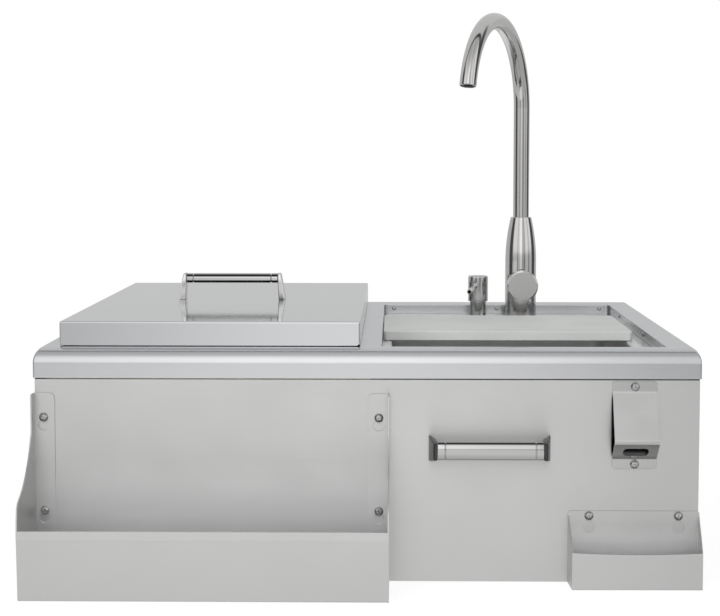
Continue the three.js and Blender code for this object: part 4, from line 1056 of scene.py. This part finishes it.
def spout_frame(along, start):
    """A point of the centre line, the way it runs, and a level side vector."""
    riser = RISER_TOP - start
    turn = max(0.0, (along - riser) / ARCH_RADIUS)
    out = ARCH_RADIUS * (1 - math.cos(turn))
    heading = Vector((-math.sin(ARCH_HEADING), -math.cos(ARCH_HEADING), 0))
    here = Vector((*TAP_AT, start + min(along, riser) + ARCH_RADIUS * math.sin(turn))) + heading * out
    ahead = heading * math.sin(turn) + Vector((0, 0, math.cos(turn)))
    return here, ahead, Vector((math.cos(ARCH_HEADING), -math.sin(ARCH_HEADING), 0))


def make_spout():
    start = extent("tap_spout")[0].z
    riser = RISER_TOP - start
    length = riser + ARCH_RADIUS * ARCH_TURN
    stations = [(0, 0.4), (0.4, 0)] + [(riser * i / 6, 0) for i in range(1, 7)]
    stations += [(riser + (length - riser - 0.5) * i / ARCH_STEPS, 0) for i in range(1, ARCH_STEPS + 1)]
    stations += [(length, 0.5), (length, SPOUT_WALL - 0.3), (length - 0.5, SPOUT_WALL)]
    stations += [(along, SPOUT_WALL) for along, _ in reversed(stations[1:-4])]
    bm = bmesh.new()
    rings = []
    for along, inset in stations:
        here, ahead, side = spout_frame(along, start)
        up = side.cross(ahead)
        r = SPOUT_RADIUS - inset
        turns = [(r * math.cos(a), r * math.sin(a)) for a in circle(SPOUT_SIDES)]
        rings.append(ring_of(bm, [here + side * u + up * w for u, w in turns]))
    skin(bm, rings + rings[:1])
    return piece("spout_tube", bm, spout_steel, "spout", "tap_spout")


spout_steel = steel("spout steel", 0.60, 0.10, along="z", grain=0.02, tint=WARM)
spout = make_spout()
print("spout:", len(spout.data.polygons), "faces")

# %% [markdown]
# ## The soap pump
#
# A short turned cap slides on a collar. A slim nozzle is melted into the cap and bored, so its dark mouth
# shows towards the front.

# %% Soap pump
PUMP_AT = (151.0, 560.0)
NOZZLE_RUN = 57
NOZZLE_FALL = 7.3
NOZZLE_HEADING = math.radians(14.5)
NOZZLE_RADIUS = 3.7
NOZZLE_BORE = 2.3
CAP_RADIUS = 14.15
CAP_SKIRT = 9.8
CAP_BORE = 11.95
COLLAR_NECK = 11.65


def make_pump():
    seat = extent("sink_pan")[0].z + 1.5
    low, high = extent("soap_pump_collar")
    bottom, neck, top = low.z, high.z, extent("soap_pump_head")[1].z
    collar = [(4.3, bottom), (11, bottom), (11, seat), (17, seat), (17, seat + 1.5), (14.5, seat + 3),
              (COLLAR_NECK, seat + 3), (COLLAR_NECK, neck), (4.3, neck)]
    piece("pump_collar", spun(eased(collar, 4, 5, 7), (*PUMP_AT, 0)), tap_steel,
          stands_for="soap_pump_collar")
    cap = [(0, neck - 24), (4, neck - 24), (4, neck + 15), (CAP_BORE, neck + 15), (CAP_BORE, CAP_SKIRT),
           (CAP_RADIUS - 0.4, CAP_SKIRT), (CAP_RADIUS, CAP_SKIRT + 0.4), (CAP_RADIUS, top - 1.4), (12.9, top),
           (0, top)]
    head = spun(eased(cap, 6, 7, 8, radius=0.8), (*PUMP_AT, 0), sides=72)
    tilt = math.atan2(NOZZLE_FALL, NOZZLE_RUN)
    length = NOZZLE_RUN / math.cos(tilt)
    aim = Matrix.Rotation(-NOZZLE_HEADING, 4, "Z") @ Matrix.Rotation(math.pi / 2 + tilt, 4, "X")
    nozzle, bore = (spun(rod(*sizes), (*PUMP_AT, KNOB_HEIGHT), aim, 32) for sizes in (
        (NOZZLE_RADIUS, 12.65, length, 0.4), (NOZZLE_BORE, 14.4, length + 5)))
    piece("pump_cap", combined("DIFFERENCE", combined("UNION", head, nozzle), bore), tap_steel, "pump_head",
          "soap_pump_head")


make_pump()
print("pump at", PUMP_AT)

# %% [markdown]
# ## What hangs on the front
#
# The bottle rail and the cap catcher are the construction's own shapes with eased edges, and their long
# lower fold gets the wider radius that a press brake leaves. The opener is drawn anew as one bent strip with
# round flanges and a nose, and the slot for the cap is cut through it.

# %% Rail, catcher and opener
opener_steel = steel("opener steel", 0.56, 0.24, turned=0.3)
HUNG_EDGE = 0.6
RAIL_FOLD = (-90, 100)
CATCHER_FOLD = (-38, 60)
OPENER_SHEET = 2.4
OPENER_NOSE = 67.3
NOSE_RADIUS = 5.0
UPPER_BEND = 12.6
LOWER_BEND = 11.0
OPENER_BEND = 1.8
FLANGE_ROUND = 3.5
OPENER_SLOT = (29.0, 10.0)
SLOT_DROP = 79.5


def opener_line(low, high):
    """The opener's outer face as (y, z) from its upper to its lower edge, with its bends and nose rounded."""
    outer = high.y - OPENER_SHEET
    corners = [(outer, high.z), (outer, high.z - UPPER_BEND), (low.y - 1.6, high.z - OPENER_NOSE),
               (outer, low.z + LOWER_BEND), (outer, low.z)]
    return eased(eased(corners, 1, 3, radius=OPENER_BEND), 6, radius=NOSE_RADIUS, steps=8)


def opener_slot(low, high):
    """A block that cuts the slot through the lower slope."""
    middle, drop = (low.x + high.x) / 2, high.z - SLOT_DROP
    half_x, half_z = OPENER_SLOT[0] / 2, OPENER_SLOT[1] / 2
    outline = rounded(middle - half_x, middle + half_x, drop - half_z, drop + half_z, half_z - 0.1)
    bm = bmesh.new()
    ends = (low.y - 5, high.y - OPENER_SHEET - 1)
    return closed_skin(bm, [ring_of(bm, [(x, y, z) for x, z in outline]) for y in ends])


def make_opener():
    low, high = extent("bottle_opener")
    line = opener_line(low, high)
    levels = [(y, z, 0.0) for y, z in line[1:-1]]
    for i, (inward, along) in enumerate(quarter(4)):
        inset, down = FLANGE_ROUND * inward, FLANGE_ROUND * along
        levels.insert(i, (line[0][0], high.z - down, inset))
        levels.insert(len(levels) - i, (line[-1][0], low.z + down, inset))
    bm = bmesh.new()
    rows = [ring_of(bm, [(low.x + inset, y, z), (high.x - inset, y, z)]) for y, z, inset in levels]
    skin(bm, rows, closed=False)
    plate = thicken(as_object("plate", cleaned(bm, (0, -1, 0))), OPENER_SHEET)
    solid = combined("DIFFERENCE", as_bmesh(plate), opener_slot(low, high))
    bpy.data.objects.remove(plate)
    piece("opener_hood", solid, opener_steel, "cabinet", "bottle_opener", edge=0.3)


rail = eased_copy("speed_rail", hung_steel, "rail", edge=HUNG_EDGE, fold=RAIL_FOLD)
eased_copy("cap_catcher", hung_steel, "catcher", edge=HUNG_EDGE, fold=CATCHER_FOLD)
make_opener()
print("rail:", [round(v / MM) for v in rail.dimensions])

# %% [markdown]
# ## The two grips
#
# The same grip is on the lid and on the front. Its bar is an oval tube with a turned groove near each end
# and a ground flat along each shoulder, which mirrors the dark beam overhead as one long line. A grip is
# drawn lying on a plane, as (along, across, above), and lifted to its place.

# %% Grips
grip_chrome = steel("grip chrome", 0.49, 0.06, grain=0.012, clouds=0.01)
lid_arm_steel = steel("lid arm steel", 0.70, 0.26, along="z", grain=0.02)
# The towel grip's arms are the same part as the lid grip's arms, given a near-black copy of its steel: a
# painted dark reflection.
towel_arm_painted_dark = steel("towel arm steel", 0.07, 0.30, along="z", grain=0.03)
BAR_LENGTH = 119.6
BAR_HEIGHT = 20.8
BAR_RAISED = 0.8
BAR_THICKNESS = 12.8
BAR_STEPS = 96
STAND_OFF = 27.6
FOOT_LENGTH = 138.6
FOOT_HEIGHT = 30.6
FOOT_THICKNESS = 8.5
FOOT_TAPER = 0.62
ARM_THICKNESS = 5.2
GROOVE_AT = 51.15
GROOVE_WIDTH = 0.9
GROOVE_DEPTH = 0.7
ROUND_SECTION = 0.75
# Which way a flat faces from the bar's upper side, and how deep it is ground.
LID_FLAT = (math.radians(47), 0.55)
TOWEL_FLAT = (math.radians(41), 0.34)
LID_GRIP_SHIFT = -1.5
TOWEL_GRIP_SHIFT = 1.4


def oval(height, thickness, flat, cut):
    """A section between an ellipse and a rectangle, with its ground flats."""
    def squarer(part):
        return math.copysign(abs(part) ** ROUND_SECTION, part) / 2

    across, out = math.cos(flat), math.sin(flat)
    curve = [(squarer(math.cos(a)) * height, squarer(math.sin(a)) * thickness) for a in circle(BAR_STEPS)]
    reach = max(abs(u) * across + abs(w) * out for u, w in curve) - cut
    points = []
    for u, w in curve:
        past = max(abs(u) * across + abs(w) * out - reach, 0.0)
        points.append((u - math.copysign(past * across, u), w - math.copysign(past * out, w)))
    return points


def bar_profile():
    """Distance along the bar and how far its surface is sunk there."""
    end = BAR_LENGTH / 2
    groove = [(GROOVE_AT + GROOVE_DEPTH * math.cos(a), GROOVE_DEPTH * math.sin(a))
              for a in (math.pi * i / 6 for i in range(1, 6))]
    shape = [(end, 0.5), (end - 0.15, 0.15), (end - 0.5, 0.0), (GROOVE_AT + GROOVE_WIDTH, 0.0), *groove,
             (GROOVE_AT - GROOVE_WIDTH, 0.0)]
    return [(-x, sunk) for x, sunk in shape] + [(x, sunk) for x, sunk in reversed(shape)]


def grip_bar(lift, flat):
    bm = bmesh.new()
    rings = []
    for x, sunk in bar_profile():
        outline = oval(BAR_HEIGHT - 2 * sunk, BAR_THICKNESS - 2 * sunk, *flat)
        rings.append(ring_of(bm, [lift(x, u + BAR_RAISED, STAND_OFF + w) for u, w in outline]))
    return closed_skin(bm, rings)


def arm_levels():
    """Height above the panel, inner and outer side, width, and the inner side's share of that width."""
    bar, foot, t = BAR_LENGTH / 2 + 0.3, FOOT_LENGTH / 2, ARM_THICKNESS
    half = BAR_THICKNESS / 2
    top = STAND_OFF + half
    keys = [(0.3, foot - FOOT_THICKNESS, foot, FOOT_HEIGHT, FOOT_TAPER),
            (2, foot - FOOT_THICKNESS, foot, FOOT_HEIGHT, FOOT_TAPER),
            (STAND_OFF - half - 2, bar, bar + t + 1.6, BAR_HEIGHT + 4, 0.85),
            (STAND_OFF, bar, bar + t, BAR_HEIGHT + 0.4, 1.0),
            (top - 1.2, bar, bar + t - 0.8, BAR_HEIGHT - 1.5, 1.0),
            (top + 0.2, bar, bar + t - 2, BAR_HEIGHT - 5, 1.0)]
    levels = []
    for low, high in zip(keys, keys[1:]):
        levels += [tuple(a + (b - a) * i / 4 for a, b in zip(low, high)) for i in range(4)]
    return levels + keys[-1:]


def grip_arm(side, lift):
    bm = bmesh.new()
    rings = []
    for z, inner, outer, height, taper in arm_levels():
        x0, x1 = (inner, outer) if side > 0 else (-outer, -inner)
        outline = rounded(x0, x1, -height / 2, height / 2, min(1.4, (outer - inner) / 2.2), 6)
        shares = [taper + (1 - taper) * (abs(x) - inner) / (outer - inner) for x, _ in outline]
        rings.append(ring_of(bm, [lift(x, u * share, z) for (x, u), share in zip(outline, shares)]))
    return closed_skin(bm, rings)


def make_grip(prefix, body, bar_node, arm_node, arm_steel, lift, flat):
    piece(prefix + "_bar", grip_bar(lift, flat), grip_chrome, body, bar_node)
    for side, word in ((-1, "left"), (1, "right")):
        piece(f"{prefix}_{word}_arm", grip_arm(side, lift), arm_steel, body, f"{arm_node}_{word}_arm",
              edge=0.4)


(bar_low, bar_high), (towel_low, towel_high) = extent("lid_handle_bar"), extent("towel_bar")
lid_grip = ((bar_low.x + bar_high.x) / 2 + LID_GRIP_SHIFT, (bar_low.y + bar_high.y) / 2,
            extent("lid_skin")[1].z)
towel_grip = ((towel_low.x + towel_high.x) / 2 + TOWEL_GRIP_SHIFT, extent("front_panel")[0].y,
              (towel_low.z + towel_high.z) / 2)
make_grip("lid_grip", "lid", "lid_handle_bar", "lid_handle", lid_arm_steel,
          lambda x, u, z: (lid_grip[0] + x, lid_grip[1] + u, lid_grip[2] + z), LID_FLAT)
make_grip("towel_grip", "cabinet", "towel_bar", "towel_bar", towel_arm_painted_dark,
          lambda x, u, z: (towel_grip[0] + x, towel_grip[1] - z, towel_grip[2] + u), TOWEL_FLAT)
print("grips at", [round(v, 1) for v in lid_grip], [round(v, 1) for v in towel_grip])

# %% [markdown]
# ## Screws, made once and set out in rows
#
# A Geometry Nodes tree builds one screw: a short cylinder cut by a large ball for the domed head, two
# crossed slots and a conical pit sunk into it, and a shank. The tree sets a copy on every point of the mesh
# it is given and turns each one by chance, as a fitter leaves them.

# %% The screw tree
SCREW_SIZES = ("Head Radius", "Head Height", "Dome Radius", "Slot Length", "Slot Width", "Pit Radius",
               "Shank Radius", "Shank Length")
SCREW_INPUTS = dict.fromkeys(SCREW_SIZES, "Float")
SCREW_INPUTS |= {"Facing": "Vector", "Seed": "Int", "Material": "Material"}
SLOTS_AT = 0.98
PIT_AT = 0.1


def screw_tree():
    group = bpy.data.node_groups.new("screw_row", "GeometryNodeTree")
    for in_out in ("INPUT", "OUTPUT"):
        group.interface.new_socket("Geometry", in_out=in_out, socket_type="NodeSocketGeometry")
    for label, kind in SCREW_INPUTS.items():
        group.interface.new_socket(label, in_out="INPUT", socket_type="NodeSocket" + kind)
    t = Wiring(group)

    def given(label):
        return t.node("NodeGroupInput", output=label)

    def geometry(kind, **values):
        return t.node("GeometryNode" + kind, {key.replace("_", " "): v for key, v in values.items()})

    def raised(shape, z):
        return geometry("Transform", Geometry=shape, Translation=t.node("CombineXYZ", {"Z": z}))

    def boolean(operation, values):
        return t.node("GeometryNodeMeshBoolean", values, {"operation": operation, "solver": "EXACT"})

    height, radius, dome = given("Head Height"), given("Head Radius"), given("Dome Radius")
    blank = raised(geometry("MeshCylinder", Vertices=48, Radius=radius, Depth=height), height * 0.5)
    ball = raised(geometry("MeshUVSphere", Segments=64, Rings=48, Radius=dome), height - dome)
    head = boolean("INTERSECT", {1: [blank, ball]})
    tools = []
    for label_x, label_y in (("Slot Length", "Slot Width"), ("Slot Width", "Slot Length")):
        size = t.node("CombineXYZ", (given(label_x), given(label_y), height))
        tools.append(raised(geometry("MeshCube", Size=size), height * SLOTS_AT))
    pit = geometry("MeshCone", Vertices=24, Radius_Top=given("Pit Radius"), Radius_Bottom=0.0, Depth=height)
    head = boolean("DIFFERENCE", {0: head, 1: tools + [raised(pit, height * PIT_AT)]})
    shank_length = given("Shank Length")
    shank = geometry("MeshCylinder", Vertices=24, Radius=given("Shank Radius"), Depth=shank_length)
    screw = geometry("JoinGeometry", Geometry=[head, raised(shank, shank_length * -0.5)])
    chance = {2: 0.0, 3: math.pi / 2, "Seed": given("Seed")}
    spin = t.node("FunctionNodeRandomValue", chance, {"data_type": "FLOAT"}, 1)
    own = t.node("FunctionNodeEulerToRotation", (t.node("CombineXYZ", {"Z": spin}),))
    facing = t.node("FunctionNodeEulerToRotation", (given("Facing"),))
    turned = t.node("FunctionNodeRotateRotation", (facing, own), {"rotation_space": "LOCAL"})
    placed = geometry("InstanceOnPoints", Points=given("Geometry"), Instance=screw, Rotation=turned)
    whole = geometry("RealizeInstances", Geometry=placed)
    t.node("NodeGroupOutput", (geometry("SetMaterial", Geometry=whole, Material=given("Material")),))
    return group


screw_row = screw_tree()
print("inputs:", list(SCREW_INPUTS))

# %% [markdown]
# The rows themselves are bare points, one to a screw. A modifier's inputs are set by their identifiers before
# the object is looked at, then the result becomes a plain mesh and the modifier goes.

# %% Rows of screws
screw_steel = steel("screw steel", 0.48, 0.11, grain=0.02)
PAN_HEAD = dict(zip(SCREW_SIZES, (5.2, 4.0, 5.6, 5.4, 1.5, 1.8, 2.4, 12.0)))
SMALL_HEAD = dict(zip(SCREW_SIZES, (3.2, 1.5, 4.4, 3.4, 0.7, 0.9, 1.5, 6.5)))
SCREW_EDGE = 0.12
TOWARDS_FRONT = (math.pi / 2, 0.0, 0.0)
TOWARDS_LEFT = (0.0, -math.pi / 2, 0.0)


def seat_of(node, head_height, axis):
    """Where the underside of a screw's head lies, in the middle of the head."""
    middle = middle_of(node)
    middle[axis] = extent(node)[0][axis] + head_height
    return place(*middle)


def row_of_screws(bm, nodes, sizes, facing, seed):
    """Adds a screw for each node to a bmesh."""
    axis = 1 if facing == TOWARDS_FRONT else 0
    mesh = bpy.data.meshes.new("row")
    mesh.from_pydata([seat_of(node, sizes["Head Height"], axis) for node in nodes], [], [])
    row = added("row", mesh)
    modifier = row.modifiers.new("screws", "NODES")
    modifier.node_group = screw_row
    values = {label: value * MM for label, value in sizes.items()}
    values |= {"Facing": facing, "Seed": seed, "Material": screw_steel}
    for item in screw_row.interface.items_tree:
        if item.item_type == "SOCKET" and item.in_out == "INPUT" and item.name in values:
            modifier[item.identifier] = values[item.name]
    bm.from_mesh(settle(row).data)
    bpy.data.objects.remove(row)


def nodes_named(*starts):
    return [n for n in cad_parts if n.startswith(starts)]


front_nodes = nodes_named("rail_screw", "catcher_screw", "opener_screw")
back_nodes, side_nodes = nodes_named("recess_screw_back"), nodes_named("recess_screw_right")
front, recess = bmesh.new(), bmesh.new()
row_of_screws(front, front_nodes, PAN_HEAD, TOWARDS_FRONT, 4)
row_of_screws(recess, back_nodes, SMALL_HEAD, TOWARDS_FRONT, 7)
row_of_screws(recess, side_nodes, SMALL_HEAD, TOWARDS_LEFT, 9)
piece("front_screws", front, screw_steel, stands_for=front_nodes, edge=SCREW_EDGE)
piece("recess_screws", recess, screw_steel, stands_for=back_nodes + side_nodes, edge=SCREW_EDGE)
print("pan heads:", len(front_nodes), "small screws:", len(back_nodes + side_nodes))

# %% [markdown]
# ## What is hidden
#
# Foam, seals, nuts and the bottle under the deck are right as the construction has them. They get finishes
# of their own, because a lid can be lifted and a cabinet looked into.

# %% Hidden parts
def mottled(name, dark, light, scale, roughness, depth):
    """A plain moulded or cast material with a colour that wanders and a fine skin."""
    return surface(
        name, Base_Color=lambda s: s.blend(s.noise(scale, 4.0).step_up(0.3, 0.7), (*dark, 1), (*light, 1)),
        Roughness=lambda s: roughness + (s.noise(scale * 6) - 0.5) * 0.15,
        Normal=lambda s: s.bump(s.noise(scale * 25), depth))


foam = mottled("foam skin", (0.66, 0.58, 0.38), (0.80, 0.73, 0.52), 40, 0.85, 0.0004)
seal_rubber = mottled("seal rubber", (0.018, 0.018, 0.019), (0.032, 0.032, 0.033), 60, 0.62, 0.00003)
valve_plastic = mottled("valve plastic", (0.035, 0.037, 0.04), (0.06, 0.062, 0.066), 50, 0.45, 0.00002)
bottle_plastic = mottled("bottle plastic", (0.66, 0.69, 0.69), (0.78, 0.80, 0.80), 20, 0.32, 0.00002)
fitting_brass = steel("fitting brass", 0.62, 0.28, tint=(1.0, 0.76, 0.40))
paint(foam, "ice_bin_insulation", "lid_foam")
paint(seal_rubber, "lid_gasket", "strainer_gasket", "tap_gasket")
paint(valve_plastic, "tap_aerator", "tap_cartridge", "soap_pump_nut")
paint(bottle_plastic, "soap_bottle", "soap_dip_tube")
paint(fitting_brass, "ice_bin_drain_nut", "strainer_locknut", "tap_shank", "tap_nut")
print("materials:", len(bpy.data.materials))
